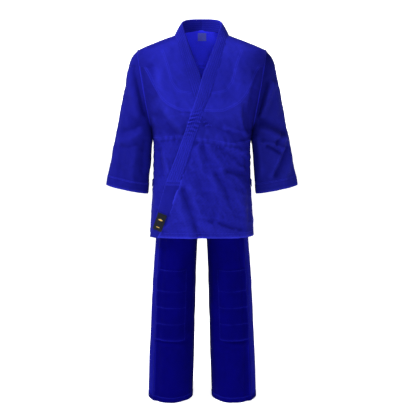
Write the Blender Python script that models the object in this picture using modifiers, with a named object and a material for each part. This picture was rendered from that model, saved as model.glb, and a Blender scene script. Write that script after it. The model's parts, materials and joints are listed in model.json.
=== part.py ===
"""Judo uniform: a crossed-over woven cotton jacket and drawcord trousers.

Metres, +Z up. The origin is on the floor under the middle of the body, the
front of the uniform faces -Y, and +X is the wearer's left.

Every piece of cloth is an open sheet with a Solidify modifier. A sheet is a
grid whose points are laid on one of three smooth forms: the torso, a sleeve
or a trouser leg. Neighbouring pieces leave a narrow seam gap between them.
"""

import bpy
import bmesh
from math import acos, asin, cos, pi, radians, sin, sqrt
from mathutils import Matrix, Vector

# ---------------------------------------------------------------- dimensions

OBJECT_NAME = "martial_arts_uniform"

# Cloth thicknesses
JACKET_CLOTH = 0.0020
SKIRT_CLOTH = 0.0016
TROUSER_CLOTH = 0.0016
LAPEL_CLOTH = 0.0012
PATCH_CLOTH = 0.0014
LABEL_CLOTH = 0.0008
NECK_LABEL_CLOTH = 0.0006
GUSSET_CLOTH = 0.0012
SEAM = 0.0012             # in-plane gap on either side of a seam
LAYER = 0.0084            # distance between the under front and the outer front

# Heights on the jacket
HEM_Z = 0.633
VENT_Z = 0.810
VENT_SEAM = 0.0018        # from the vent's height to the skirt pieces above and below it
BACK_SKIRT_INSET = 0.0042 # the back skirt's top hangs just inside the piece above
WAIST_SEAM_Z = 0.985
YOKE_FRONT_Z = 1.098      # lowest point of the curved chest yoke
YOKE_CORNER_Z = 1.256     # where the chest yoke's curve meets the armhole
YOKE_BACK_Z = 1.200
ARMPIT_Z = 1.030
SHOULDER_TIP_Z = 1.313
NECK_Z = 1.366

# Torso: half widths seen from the front, and depths of front and back
SHOULDER_TIP_X = 0.2330
ARMHOLE_SLOPE = 0.165     # sideways run of the armhole plane for each metre down
SECTION_POWER = 2.5       # super-ellipse power of a level section
TORSO_SIDE = [(HEM_Z, 0.195), (0.70, 0.190), (0.78, 0.184), (0.86, 0.180), (0.985, 0.180),
              (ARMPIT_Z, SHOULDER_TIP_X - ARMHOLE_SLOPE * (SHOULDER_TIP_Z - ARMPIT_Z)),
              (SHOULDER_TIP_Z, SHOULDER_TIP_X), (1.326, 0.204), (1.348, 0.148), (1.366, 0.0945)]
TORSO_FRONT = [(HEM_Z, 0.124), (0.80, 0.122), (0.90, 0.119), (0.985, 0.114), (1.08, 0.120),
               (1.20, 0.124), (1.27, 0.116), (1.313, 0.102), (1.34, 0.088), (1.366, 0.074)]
SIDE_SEAM_GAP = radians(0.35)
BACK_EXTRA = 0.0058       # the back is this much further from the middle than the front
BACK_NECK_RISE = 0.017    # how far the neck seam climbs towards the middle of the back

# Armhole: an ellipse in a leaning plane
ARMHOLE_MID_Z = (ARMPIT_Z + SHOULDER_TIP_Z) / 2
ARMHOLE_HALF_HEIGHT = (SHOULDER_TIP_Z - ARMPIT_Z) / 2
ARMHOLE_HALF_DEPTH = 0.060

# Lapel band: its two edges as x at a height, on the wearer's left
LAPEL_OUTER = [(HEM_Z, -0.152), (0.718, -0.1165), (0.782, -0.0935), (0.83, -0.0775), (0.936, -0.0415),
               (0.998, -0.0226), (1.042, -0.0072), (1.081, 0.0047), (1.123, 0.0200), (1.157, 0.0321),
               (1.207, 0.0474), (1.253, 0.0624), (1.296, 0.0757), (1.340, 0.0850), (1.352, 0.0895),
               (1.360, 0.0925)]
LAPEL_INNER = [(HEM_Z, -0.1840), (0.718, -0.160), (0.782, -0.142), (0.83, -0.129), (0.936, -0.090),
               (0.998, -0.0680), (1.042, -0.0534), (1.081, -0.0417), (1.123, -0.0275), (1.157, -0.0160),
               (1.207, -0.0020), (1.232, 0.0050), (1.265, 0.0190), (1.300, 0.0320), (1.340, 0.0480)]
LAPEL_HALF = 0.0027       # each layer of the folded band from its middle
LAPEL_SPLIT_Z = 1.096     # where the outer lapel's swinging part begins
CORE_CLOTH = 0.0010
FOLDED_SECTION = [(0.045, 1), (0.5, 1), (0.93, 1), (1.0, 0.5),
                  (1.0, -0.5), (0.93, -1), (0.5, -1), (0.045, -1)]
CORE_SECTION = [(0.2, 0), (0.5, 0), (0.8, 0)]

# Standing collar: base point and top point of the band, from the middle of the back round to the front
COLLAR_STATIONS = [((0.0000, 0.0790, 1.3850), (0.0000, 0.0700, 1.4295)),
                   ((0.0420, 0.0715, 1.3820), (0.0350, 0.0620, 1.4285)),
                   ((0.0750, 0.0440, 1.3760), (0.0590, 0.0380, 1.4240)),
                   ((0.0930, 0.0060, 1.3690), (0.0705, 0.0040, 1.4130)),
                   ((0.0938, -0.0380, 1.3625), (0.0660, -0.0330, 1.3960)),
                   ((0.0895, -0.0660, 1.3520), (0.0570, -0.0600, 1.3680))]
COLLAR_END = 3            # the collar runs from the middle of the back to this station

# Fold line of the outer front, from hem to neck, in x
FOLD_LOW = (0.120, 0.620)
FOLD_HIGH = (0.050, 1.360)

# Chest yoke's lower edge: x at a height
YOKE_EDGE = [(YOKE_FRONT_Z, 0.070), (1.110, 0.100), (1.130, 0.132), (1.158, 0.156),
             (1.190, 0.175), (1.228, 0.193), (YOKE_CORNER_Z, 0.2085)]

# Sleeve: upper and under points of each section, with its half depth
SLEEVE_STATIONS = [((0.2575, 1.2830), (0.1870, 1.0170), 0.064), ((0.2705, 1.2350), (0.1850, 1.0050), 0.066),
                   ((0.2855, 1.1650), (0.1840, 0.9900), 0.066), ((0.3000, 1.0980), (0.1855, 0.9650), 0.064),
                   ((0.3145, 1.0250), (0.1880, 0.9400), 0.060), ((0.3285, 0.9600), (0.1910, 0.9050), 0.055),
                   ((0.3415, 0.8930), (0.1955, 0.8600), 0.050), ((0.3565, 0.8205), (0.2020, 0.7880), 0.045)]
SLEEVE_START = 0.0035     # gap between the armhole plane and the sleeve's ring
CUFF_LENGTH = 0.32        # share of the last sleeve section that is cuff
CUFF_GAP = 0.012          # in the same shares, on either side of the cuff's seam
CUFF_CLOTH = 1.5 * JACKET_CLOTH

# Trouser leg: section centre, half width and half depth at a height
LEG_SECTIONS = [(0.000, 0.1225, 0.0850, 0.0910), (0.140, 0.1174, 0.0851, 0.0930),
                (0.257, 0.1128, 0.0833, 0.0950), (0.376, 0.1085, 0.0820, 0.0965),
                (0.493, 0.1030, 0.0800, 0.0970), (0.609, 0.0958, 0.0780, 0.0970),
                (0.670, 0.0905, 0.0780, 0.0970), (0.700, 0.0860, 0.0843, 0.0970),
                (0.760, 0.0550, 0.1110, 0.0980), (0.850, 0.0250, 0.1350, 0.0970),
                (0.968, 0.0000, 0.1480, 0.0930), (1.012, 0.0000, 0.1480, 0.0930)]
CROTCH_Z = 0.700
TROUSER_TOP_Z = 0.968
WAISTBAND_LOW_Z = 0.971
WAISTBAND_HIGH_Z = 1.012
WAISTBAND_CLOTH = 0.0030
MIDDLE_CLEARANCE = 0.0017
TROUSER_HEM = 0.020
LEG_SEAM_GAP = radians(0.5)
GUSSET_HIGH_Z = 0.679     # middle of the crotch gusset, and the ends of its two arms
GUSSET_LOW_Z = 0.628
GUSSET_HALF_WIDTH = 0.034
GUSSET_TIP_HALF_WIDTH = 0.010
GUSSET_INSET = 0.0034     # how far inside the leg its arms lie

# Knee: the front of the leg is the hinge, and a wedge at the back folds up
KNEE_Z = 0.4325
KNEE_WEDGE = 0.088        # height of half the wedge at the back
THIGH_FOLD_LENGTH = 0.16  # the wedge fades out over this much thigh and this much shin
SHIN_FOLD_LENGTH = 0.17
KNEE_FOLD_SPAN = (radians(-58), radians(238))
KNEE_FOLD_SEAM = 0.0020
KNEE_PATCH_TOP_Z = 0.515
KNEE_PATCH_LOW_Z = 0.235
KNEE_PATCH_HALF_ANGLE = 37.0
PATCH_OFFSET = 0.0027

# Small pieces
LABEL_CENTRE = (-0.1418, 0.6950)
LABEL_SIZE = (0.029, 0.066)
LABEL_TILT = 18.0
LABEL_OFFSET = 0.0022      # from the outer layer of the lapel band
NECK_LABEL_SIZE = (0.034, 0.022)
NECK_LABEL_Z = 1.351
NECK_LABEL_INSET = 0.0036
VENT_PATCH_Z = (0.814, 0.840)
VENT_PATCH_HALF_ANGLE = radians(7.5)
VENT_PATCH_OFFSET = 0.0036
EYELET_X = 0.030
EYELET_OFFSET = 0.0024
EYELET_RADIUS = 0.0048
EYELET_WIRE = 0.0011
LOOP_X = 0.056
LOOP_WIDTH = 0.010
LOOP_OFFSET = 0.0018
LOOP_BULGE = 0.0082

# Joint axes
SLEEVE_PIVOT = (SHOULDER_TIP_X + 0.0015, 0.0, SHOULDER_TIP_Z)
FLAP_PIVOT = (0.120, -0.149, 0.620)
BACK_SKIRT_PIVOT = (0.0, 0.070, VENT_Z)
KNEE_PIVOT_Y = -0.0985

COLOURS = {"jacket": (0.012, 0.011, 0.295), "skirt": (0.010, 0.009, 0.260), "lapel": (0.016, 0.016, 0.340),
           "trousers": (0.004, 0.002, 0.130), "patch": (0.005, 0.003, 0.150), "core": (0.70, 0.68, 0.62),
           "black_label": (0.012, 0.014, 0.022), "thread": (0.020, 0.020, 0.360)}

# ------------------------------------------------------------------- helpers


def clear_scene():
    for item in list(bpy.data.objects):
        bpy.data.objects.remove(item, do_unlink=True)


def at(table, z, column=1):
    """Value of a table's column at a height, in straight runs between its rows."""
    if z <= table[0][0]:
        return table[0][column]
    for low, high in zip(table, table[1:]):
        if z <= high[0]:
            share = (z - low[0]) / (high[0] - low[0])
            return low[column] + (high[column] - low[column]) * share
    return table[-1][column]


def mix(a, b, share):
    return a + (b - a) * share


def smooth(value):
    value = min(1.0, max(0.0, value))
    return value * value * (3 - 2 * value)


def material(slot):
    found = bpy.data.materials.get(slot)
    if found:
        return found
    made = bpy.data.materials.new(slot)
    made.use_nodes = True
    shader = made.node_tree.nodes["Principled BSDF"]
    shader.inputs["Base Color"].default_value = (*COLOURS[slot], 1.0)
    shader.inputs["Roughness"].default_value = 0.85
    shader.inputs["Metallic"].default_value = 0.0
    made.diffuse_color = (*COLOURS[slot], 1.0)
    return made


def pivot(name, place, parent=None):
    """An empty on a joint's axis, which the moving pieces hang from."""
    empty = bpy.data.objects.new(name, None)
    parts.objects.link(empty)
    empty.location = Vector(place) - (Vector(parent["place"]) if parent else Vector())
    empty["place"] = tuple(place)
    empty.parent = parent
    return empty


def finish(name, mesh, slot, body):
    """An object whose mesh is given in world space and whose origin is on its body's pivot."""
    part = bpy.data.objects.new(name, mesh)
    parts.objects.link(part)
    mesh.materials.append(material(slot))
    if body:
        mesh.transform(Matrix.Translation(-Vector(body["place"])))
        part.parent = body
    mesh.shade_smooth()
    mesh.set_sharp_from_angle(angle=radians(40))
    return part


def sheet(name, surface, columns, rows, thickness, slot, body=None, closed=False):
    """A grid laid on surface(s, t), both from 0 to 1, and thickened evenly to both sides."""
    grid = bmesh.new()
    bmesh.ops.create_grid(grid, x_segments=columns, y_segments=rows, size=0.5)
    for point in grid.verts:
        point.co = surface(point.co.x + 0.5, point.co.y + 0.5)
    if closed:
        bmesh.ops.remove_doubles(grid, verts=grid.verts, dist=0.00005)
    mesh = bpy.data.meshes.new(name)
    grid.to_mesh(mesh)
    grid.free()
    part = finish(name, mesh, slot, body)
    shell = part.modifiers.new("thickness", "SOLIDIFY")
    shell.thickness = thickness
    shell.offset = 0.0
    return part


def level(levels, t):
    """The height of grid row t in a list of heights."""
    return levels[round(t * (len(levels) - 1))]


# --------------------------------------------------------------- torso form


def armhole_depth(z):
    """Half depth of the armhole at a height, or 0 above and below it."""
    share = (z - ARMHOLE_MID_Z) / ARMHOLE_HALF_HEIGHT
    return ARMHOLE_HALF_DEPTH * sqrt(max(0.0, 1 - share * share))


def depth(z, back):
    return at(TORSO_FRONT, z) + (BACK_EXTRA if back else 0.0)


def half_width(z, back):
    """Half width of the full section, whose side is cut off by the armhole plane."""
    cut = (armhole_depth(z) / depth(z, back)) ** SECTION_POWER
    return at(TORSO_SIDE, z) / (1 - cut) ** (1 / SECTION_POWER)


def side_angle(z, back=False):
    """Angle from the middle of the front at which the section meets the armhole or the side seam."""
    return acos((armhole_depth(z) / depth(z, back)) ** (SECTION_POWER / 2))


def signed_power(value, power):
    return abs(value) ** power * (1 if value >= 0 else -1)


def torso(angle, z, out=0.0, lift=0.0):
    """Point at an angle from the middle of the front, positive towards +X."""
    back = abs(angle) > pi / 2
    x = (half_width(z, back) + out) * signed_power(sin(angle), 2 / SECTION_POWER)
    y = -(depth(z, back) + out) * signed_power(cos(angle), 2 / SECTION_POWER)
    return Vector((x, y, z + lift))


def angle_at(x, z):
    """Angle of the front point with a given x."""
    share = min(1.0, abs(x) / half_width(z, False))
    return signed_power(x, 0) * asin(share ** (SECTION_POWER / 2))


def front_layer(angle, side):
    """How far out the front of one side lies: the wearer's left front covers the right one."""
    across = smooth(0.5 + angle / pi)
    return LAYER * (1 - across) if side > 0 else -LAYER * across


def front_point(side, x, z, out=0.0):
    """Point on one front, with x counted from the middle towards that front's own side."""
    angle = side * angle_at(x, z)
    return torso(angle, z, front_layer(angle, side) + out)


def fold_x(z):
    share = (z - FOLD_LOW[1]) / (FOLD_HIGH[1] - FOLD_LOW[1])
    return mix(FOLD_LOW[0], FOLD_HIGH[0], share)


def front_sheet(name, side, levels, inner, outer, columns, slot, body, thickness=JACKET_CLOTH):
    """A piece of one front between two edges, each an angle at a height."""
    def surface(s, t):
        z = level(levels, t)
        angle = side * mix(inner(z), outer(z), s)
        return torso(angle, z, front_layer(angle, side))
    return sheet(name, surface, columns, len(levels) - 1, thickness, slot, body)


def lapel_seam(z):
    return angle_at(at(LAPEL_OUTER, z) + 2 * SEAM, z)


def side_seam(z):
    return side_angle(z) - SIDE_SEAM_GAP


# ------------------------------------------------------------------- jacket


def build_front(side, name, jacket, flap):
    """Chest yoke, chest panel and skirt of one front; the left one is split at its fold line."""
    def yoke_low(z):
        return angle_at(at(YOKE_EDGE, z) + SEAM, z)

    def yoke_high(z):
        if z >= YOKE_CORNER_Z:
            return side_seam(z)
        return angle_at(at(YOKE_EDGE, z) - SEAM, z)

    def beside_fold(z):
        return angle_at(fold_x(z) + SEAM, z)

    def before_fold(z):
        return angle_at(fold_x(z) - SEAM, z)

    def panel_inner(z):
        if z > YOKE_FRONT_Z - 0.002:
            return yoke_low(z)
        return beside_fold(z) if side > 0 else lapel_seam(z)

    yoke_levels = [YOKE_FRONT_Z, 1.110, 1.130, 1.158, 1.190, 1.228, YOKE_CORNER_Z - 0.0005,
                   YOKE_CORNER_Z + 0.0010, 1.285, 1.304, SHOULDER_TIP_Z, 1.326, 1.340, 1.352, 1.360]
    front_sheet(f"{name}_chest_yoke", side, yoke_levels, lapel_seam, yoke_high, 6, "jacket", jacket)

    panel_levels = [WAIST_SEAM_Z + SEAM, 1.010, ARMPIT_Z, 1.040, 1.062, YOKE_FRONT_Z - 0.004,
                    YOKE_FRONT_Z - 0.0015, 1.110, 1.130, 1.158, 1.190, 1.228, YOKE_CORNER_Z - 0.0020]
    front_sheet(f"{name}_front_panel", side, panel_levels, panel_inner, side_seam, 6 if side < 0 else 4,
                "jacket", jacket)

    skirt_levels = [HEM_Z, 0.675, 0.718, 0.782, 0.830, 0.885, 0.936, WAIST_SEAM_Z - SEAM]
    if side < 0:
        front_sheet("right_front_skirt", side, skirt_levels, lapel_seam, side_seam, 10, "skirt", jacket,
                    SKIRT_CLOTH)
        return
    front_sheet("left_side_skirt", side, skirt_levels, beside_fold, side_seam, 3, "skirt", jacket,
                SKIRT_CLOTH)
    front_sheet("left_front_skirt", side, skirt_levels, lapel_seam, before_fold, 7, "skirt", flap,
                SKIRT_CLOTH)
    flap_levels = [WAIST_SEAM_Z + SEAM, 1.010, 1.042, 1.070, YOKE_FRONT_Z - 0.003]
    front_sheet("left_front_overlap", side, flap_levels, lapel_seam, before_fold, 3, "jacket", flap)


def build_back(jacket, back_skirt):
    """Yoke, panel and skirt of the back; the skirt below the vents swings on its own."""
    def back_sheet(name, levels, slot, body, thickness, out=0.0, rise=0.0):
        def surface(s, t):
            z = level(levels, t)
            edge = pi - side_angle(z, True) + SIDE_SEAM_GAP
            angle = mix(edge, 2 * pi - edge, s)
            angle = angle if angle <= pi else angle - 2 * pi
            climb = (z - levels[0]) / (levels[-1] - levels[0])
            lift = rise * climb ** 3 * max(0.0, -cos(angle))
            return torso(angle, z, out, lift)
        return sheet(name, surface, 14, len(levels) - 1, thickness, slot, body)

    back_sheet("back_yoke", [YOKE_BACK_Z + SEAM, 1.228, YOKE_CORNER_Z, 1.285, 1.304, SHOULDER_TIP_Z,
                             1.326, 1.340, 1.352, 1.360, NECK_Z],
               "jacket", jacket, JACKET_CLOTH, rise=BACK_NECK_RISE)
    back_sheet("back_panel", [WAIST_SEAM_Z + SEAM, 1.010, ARMPIT_Z, 1.040, 1.062, 1.100, 1.150,
                              YOKE_BACK_Z - SEAM],
               "jacket", jacket, JACKET_CLOTH)
    back_sheet("back_waist_skirt", [VENT_Z + VENT_SEAM, 0.870, 0.930, WAIST_SEAM_Z - SEAM],
               "skirt", jacket, SKIRT_CLOTH)
    back_sheet("back_skirt", [HEM_Z, 0.675, 0.718, 0.764, VENT_Z - VENT_SEAM],
               "skirt", back_skirt, SKIRT_CLOTH, out=-BACK_SKIRT_INSET)


def smooth_through(points, place):
    """Point on a smooth curve through a list of points that is mirrored about X at its start."""
    first = min(int(place), len(points) - 2)
    t = place - first
    a, b = points[first], points[first + 1]
    before = points[first - 1] if first else Vector((-b.x, b.y, b.z))
    after = points[first + 2] if first + 2 < len(points) else 2 * b - a
    return 0.5 * (2 * a + (b - before) * t + (2 * before - 5 * a + 4 * b - after) * t ** 2
                  + (3 * a - before - 3 * b + after) * t ** 3)


def collar_point(side, station, across):
    """Point on the standing collar, at a station that may lie between two of the list."""
    base = smooth_through([Vector(pair[0]) for pair in COLLAR_STATIONS], abs(station))
    top = smooth_through([Vector(pair[1]) for pair in COLLAR_STATIONS], abs(station))
    point = base.lerp(top, across)
    return Vector((side * point.x, point.y, point.z))


def lapel_point(side, place, across):
    """Point on a lapel band: collar stations first, then minus the height once it lies on the chest."""
    if place >= 0:
        return collar_point(side, place, across)
    z = -place
    x = mix(at(LAPEL_OUTER, z), at(LAPEL_INNER, z), across)
    return front_point(side, x, z)


def band(name, curve, places, folded, slot, body):
    """A folded band, open along its sewn edge, or the flat core inside it, laid along a curve."""
    section = FOLDED_SECTION if folded else CORE_SECTION

    def surface(s, t):
        across, offset = section[round(s * (len(section) - 1))]
        row = round(t * (len(places) - 1))
        before = places[max(0, row - 1)]
        after = places[min(len(places) - 1, row + 1)]
        along = curve(after, across) - curve(before, across)
        width = curve(places[row], min(1.0, across + 0.05)) - curve(places[row], max(0.0, across - 0.05))
        normal = along.cross(width).normalized()
        return curve(places[row], across) + normal * (offset * LAPEL_HALF)
    thickness = LAPEL_CLOTH if folded else CORE_CLOTH
    return sheet(name, surface, len(section) - 1, len(places) - 1, thickness, slot, body)


def build_lapels(jacket, flap):
    """The stiffened band: a collar behind the neck, and a lapel down each front."""
    joint = 0.03      # share of a station left open where the collar meets the lapels
    half_steps = [step / 2 for step in range(1 - 2 * COLLAR_END, 2 * COLLAR_END)]
    collar_places = [-COLLAR_END + joint, *half_steps, COLLAR_END - joint]

    def collar_curve(place, across):
        return collar_point(1 if place >= 0 else -1, place, across)

    neck_places = [COLLAR_END + joint, *(COLLAR_END + step / 2 for step in range(1, 5))]
    chest = [1.340, 1.320, 1.296, 1.265, 1.232, 1.207, 1.157, 1.123]
    lower = [1.081, 1.042, 0.998, 0.936, 0.885, 0.830, 0.782, 0.718, 0.675, HEM_Z]
    upper_places = neck_places + [-z for z in chest + [LAPEL_SPLIT_Z + 0.001]]
    lower_places = [-z for z in [LAPEL_SPLIT_Z - 0.001] + lower]
    whole_places = neck_places + [-z for z in chest + [LAPEL_SPLIT_Z] + lower]

    def left(place, across):
        return lapel_point(1, place, across)

    def right(place, across):
        return lapel_point(-1, place, across)

    for folded, ending, slot in ((True, "", "lapel"), (False, "_core", "core")):
        band(f"collar{ending}", collar_curve, collar_places, folded, slot, jacket)
        band(f"left_lapel_upper{ending}", left, upper_places, folded, slot, jacket)
        band(f"right_lapel{ending}", right, whole_places, folded, slot, jacket)
        band(f"left_lapel_lower{ending}", left, lower_places, folded, slot, flap)


def build_labels(jacket, flap):
    """A plain black label on the lapel's end and a plain one inside the neck."""
    def lapel_label(s, t):
        a = (s - 0.5) * LABEL_SIZE[0]
        b = (t - 0.5) * LABEL_SIZE[1]
        tilt = radians(LABEL_TILT)
        x = LABEL_CENTRE[0] + a * cos(tilt) + b * sin(tilt)
        z = LABEL_CENTRE[1] - a * sin(tilt) + b * cos(tilt)
        return front_point(1, x, z, LAPEL_HALF + LABEL_OFFSET)
    sheet("lapel_label", lapel_label, 3, 5, LABEL_CLOTH, "black_label", flap)

    def neck_label(s, t):
        x = (s - 0.5) * NECK_LABEL_SIZE[0]
        z = NECK_LABEL_Z + (t - 0.5) * NECK_LABEL_SIZE[1]
        from_middle = asin((abs(x) / half_width(z, True)) ** (SECTION_POWER / 2))
        angle = pi - from_middle if x >= 0 else from_middle - pi
        climb = (z - YOKE_BACK_Z) / (NECK_Z - YOKE_BACK_Z)
        return torso(angle, z, -NECK_LABEL_INSET, BACK_NECK_RISE * climb ** 3)
    sheet("neck_label", neck_label, 4, 3, NECK_LABEL_CLOTH, "thread", jacket)


def build_vent_patches(jacket):
    """A small reinforcement over the top of each side vent."""
    for side, name in ((1, "left"), (-1, "right")):
        def surface(s, t):
            angle = side * (pi / 2 + VENT_PATCH_HALF_ANGLE * (2 * s - 1))
            return torso(angle, mix(*VENT_PATCH_Z, t), VENT_PATCH_OFFSET)
        sheet(f"{name}_vent_patch", surface, 4, 2, PATCH_CLOTH, "jacket", jacket)


def sleeve_section(place):
    """Upper point, under point and half depth of the sleeve at a station between two of the list."""
    low_x = SHOULDER_TIP_X - ARMHOLE_SLOPE * (SHOULDER_TIP_Z - ARMPIT_Z)
    stations = [((SHOULDER_TIP_X + SLEEVE_START, SHOULDER_TIP_Z), (low_x + SLEEVE_START, ARMPIT_Z),
                 ARMHOLE_HALF_DEPTH)] + SLEEVE_STATIONS
    first = min(int(place), len(stations) - 2)
    share = place - first
    upper = [mix(a, b, share) for a, b in zip(stations[first][0], stations[first + 1][0])]
    under = [mix(a, b, share) for a, b in zip(stations[first][1], stations[first + 1][1])]
    return upper, under, mix(stations[first][2], stations[first + 1][2], share)


def build_sleeve(side, name, body):
    """A sleeve tube from the armhole to the cuff, and its turned cuff."""
    def tube(places):
        def surface(s, t):
            upper, under, half_depth = sleeve_section(level(places, t))
            turn = 2 * pi * s
            share = (1 + cos(turn)) / 2
            x = mix(under[0], upper[0], share)
            z = mix(under[1], upper[1], share)
            return Vector((side * x, half_depth * sin(turn), z))
        return surface

    last = len(SLEEVE_STATIONS)
    cuff = last - CUFF_LENGTH
    arm = tube([*range(last), cuff - CUFF_GAP])
    sheet(f"{name}_sleeve", arm, 16, last, JACKET_CLOTH, "jacket", body, True)
    end = tube([cuff + CUFF_GAP, last - 0.15, last])
    sheet(f"{name}_cuff", end, 16, 2, CUFF_CLOTH, "lapel", body, True)


# ----------------------------------------------------------------- trousers


def leg_section(z):
    return tuple(at(LEG_SECTIONS, z, column) for column in (1, 2, 3))


def inner_angle(z):
    """Angle from the outer side at which a leg's section meets the middle of the body, or half a turn."""
    centre, half, _ = leg_section(z)
    share = (centre - MIDDLE_CLEARANCE) / half
    return acos(max(-1.0, -share)) if z >= CROTCH_Z else pi


def leg_point(side, angle, z, out=0.0, shift=0.0):
    """Point on a leg, with the angle counted from its outer side, negative at the front."""
    centre, half, deep = leg_section(z)
    return Vector((side * (centre + (half + out) * cos(angle)), (deep + out) * sin(angle), z + shift))


def wedge(angle):
    """Height of half the knee wedge at an angle: nothing at the front, all of it at the back."""
    return KNEE_WEDGE * (1 + sin(angle)) / 2


def thigh_shift(angle, z):
    return wedge(angle) * (1 - smooth((z - KNEE_Z) / THIGH_FOLD_LENGTH))


def shin_shift(angle, z):
    return -wedge(angle) * (1 - smooth((KNEE_Z - z) / SHIN_FOLD_LENGTH))


def leg_sheet(name, side, levels, edges, columns, slot, body, shift, thickness=TROUSER_CLOTH, out=0.0):
    """A piece of a leg between two angles, which may depend on the height."""
    def surface(s, t):
        z = level(levels, t)
        angle = mix(*edges(z), s)
        return leg_point(side, angle, z, out, shift(angle, z))
    return sheet(name, surface, columns, len(levels) - 1, thickness, slot, body)


def build_leg(side, name, shin):
    """Thigh, knee and shin pieces of one trouser leg."""
    def front(z):
        return -inner_angle(z) + LEG_SEAM_GAP, -LEG_SEAM_GAP

    def back(z):
        return LEG_SEAM_GAP, inner_angle(z) - LEG_SEAM_GAP

    thigh = [KNEE_Z + SEAM, 0.475, 0.517, 0.565, 0.609, 0.670, CROTCH_Z + 0.0001, 0.712,
             0.735, 0.760, 0.805, 0.850, 0.910, TROUSER_TOP_Z]
    leg_sheet(f"{name}_trouser_front", side, thigh, front, 8, "trousers", None, thigh_shift)
    leg_sheet(f"{name}_trouser_back", side, thigh, back, 8, "trousers", None, thigh_shift)

    shin_levels = [TROUSER_HEM + SEAM, 0.080, 0.140, KNEE_PATCH_LOW_Z, 0.300, 0.376, KNEE_Z - SEAM]
    leg_sheet(f"{name}_shin_front", side, shin_levels, front, 8, "trousers", shin, shin_shift)
    leg_sheet(f"{name}_shin_back", side, shin_levels, back, 8, "trousers", shin, shin_shift)

    def hem(s, t):
        return leg_point(side, 2 * pi * s, TROUSER_HEM * t)
    sheet(f"{name}_trouser_hem", hem, 16, 1, TROUSER_CLOTH * 2, "trousers", shin, True)

    half = radians(KNEE_PATCH_HALF_ANGLE)

    def patch(z):
        return -pi / 2 - half, -pi / 2 + half
    leg_sheet(f"{name}_knee_patch_upper", side, [KNEE_Z + SEAM, 0.475, KNEE_PATCH_TOP_Z], patch, 5,
              "patch", None, thigh_shift, PATCH_CLOTH, PATCH_OFFSET)
    leg_sheet(f"{name}_knee_patch_lower", side, [KNEE_PATCH_LOW_Z, 0.300, 0.376, KNEE_Z - SEAM], patch, 5,
              "patch", shin, shin_shift, PATCH_CLOTH, PATCH_OFFSET)

    def fold(s, t):
        angle = mix(*KNEE_FOLD_SPAN, s)
        reach = (2 * t - 1) * (wedge(angle) - KNEE_FOLD_SEAM)
        return leg_point(side, angle, KNEE_Z, 0.0, reach)
    sheet(f"{name}_knee_fold", fold, 14, 3, TROUSER_CLOTH, "trousers")


def build_waist():
    """Waistband with its drawcord eyelets and loops, and the crotch gusset."""
    def ring(s, t):
        angle = 2 * pi * s
        _, half, deep = leg_section(TROUSER_TOP_Z)
        return Vector((half * cos(angle), deep * sin(angle), mix(WAISTBAND_LOW_Z, WAISTBAND_HIGH_Z, t)))
    sheet("waistband", ring, 32, 2, WAISTBAND_CLOTH, "trousers", None, True)

    _, half, deep = leg_section(TROUSER_TOP_Z)

    def waist_front(x):
        return -deep * sqrt(1 - (x / half) ** 2) - WAISTBAND_CLOTH / 2

    middle_z = (WAISTBAND_LOW_Z + WAISTBAND_HIGH_Z) / 2
    for side, name in ((1, "left"), (-1, "right")):
        lean = asin(EYELET_X / half) * deep / half
        place = (side * EYELET_X, waist_front(EYELET_X) - EYELET_OFFSET, middle_z)
        bpy.ops.mesh.primitive_torus_add(major_radius=EYELET_RADIUS, minor_radius=EYELET_WIRE,
                                         major_segments=14, minor_segments=6,
                                         rotation=(pi / 2, 0, side * lean), location=place)
        eyelet = bpy.context.object
        eyelet.name = f"{name}_drawcord_eyelet"
        eyelet.data.materials.append(material("thread"))
        for holder in list(eyelet.users_collection):
            holder.objects.unlink(eyelet)
        parts.objects.link(eyelet)

        def loop(s, t):
            x = side * (LOOP_X + (s - 0.5) * LOOP_WIDTH)
            out = LOOP_OFFSET + LOOP_BULGE * sin(pi * t) ** 0.7
            return Vector((x, waist_front(abs(x)) - out, mix(WAISTBAND_LOW_Z, WAISTBAND_HIGH_Z, t)))
        sheet(f"{name}_drawcord_loop", loop, 1, 8, PATCH_CLOTH, "trousers")

    def gusset(s, t):
        arm = 2 * s - 1
        z = mix(GUSSET_HIGH_Z, GUSSET_LOW_Z, abs(arm))
        y = (2 * t - 1) * mix(GUSSET_HALF_WIDTH, GUSSET_TIP_HALF_WIDTH, abs(arm))
        centre, half_x, half_y = leg_section(z)
        wall = centre - half_x * sqrt(1 - (y / half_y) ** 2)
        return Vector(((wall - GUSSET_INSET) * smooth(abs(arm) * 4) * (1 if arm > 0 else -1), y, z))
    sheet("crotch_gusset", gusset, 10, 4, GUSSET_CLOTH, "trousers")


# ------------------------------------------------------------------ assembly

clear_scene()
parts = bpy.data.collections.new(OBJECT_NAME)
bpy.context.scene.collection.children.link(parts)

jacket_pivot = pivot("jacket_pivot", (0.0, 0.0, WAIST_SEAM_Z))
flap_pivot = pivot("outer_front_pivot", FLAP_PIVOT, jacket_pivot)
back_skirt_pivot = pivot("back_skirt_pivot", BACK_SKIRT_PIVOT, jacket_pivot)

build_back(jacket_pivot, back_skirt_pivot)
for side_sign, side_name in ((1, "left"), (-1, "right")):
    build_front(side_sign, side_name, jacket_pivot, flap_pivot)
    shoulder = (side_sign * SLEEVE_PIVOT[0], SLEEVE_PIVOT[1], SLEEVE_PIVOT[2])
    build_sleeve(side_sign, side_name, pivot(f"{side_name}_sleeve_pivot", shoulder, jacket_pivot))
    knee_x = side_sign * leg_section(KNEE_Z)[0]
    build_leg(side_sign, side_name, pivot(f"{side_name}_knee_pivot", (knee_x, KNEE_PIVOT_Y, KNEE_Z)))
build_lapels(jacket_pivot, flap_pivot)
build_labels(jacket_pivot, flap_pivot)
build_vent_patches(jacket_pivot)
build_waist()
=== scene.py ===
"""Looks of the judo uniform: fine cloth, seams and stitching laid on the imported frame.

Lengths are metres in the frame's axes: +Z up, -Y the front, +X the wearer's left. A form gives
points on the torso, a sleeve or a leg; a relief moves them out or in along the form's normal; and a
piece is a closed shell of cloth on those points, with its rows of stitches in the same mesh.
"""

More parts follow.
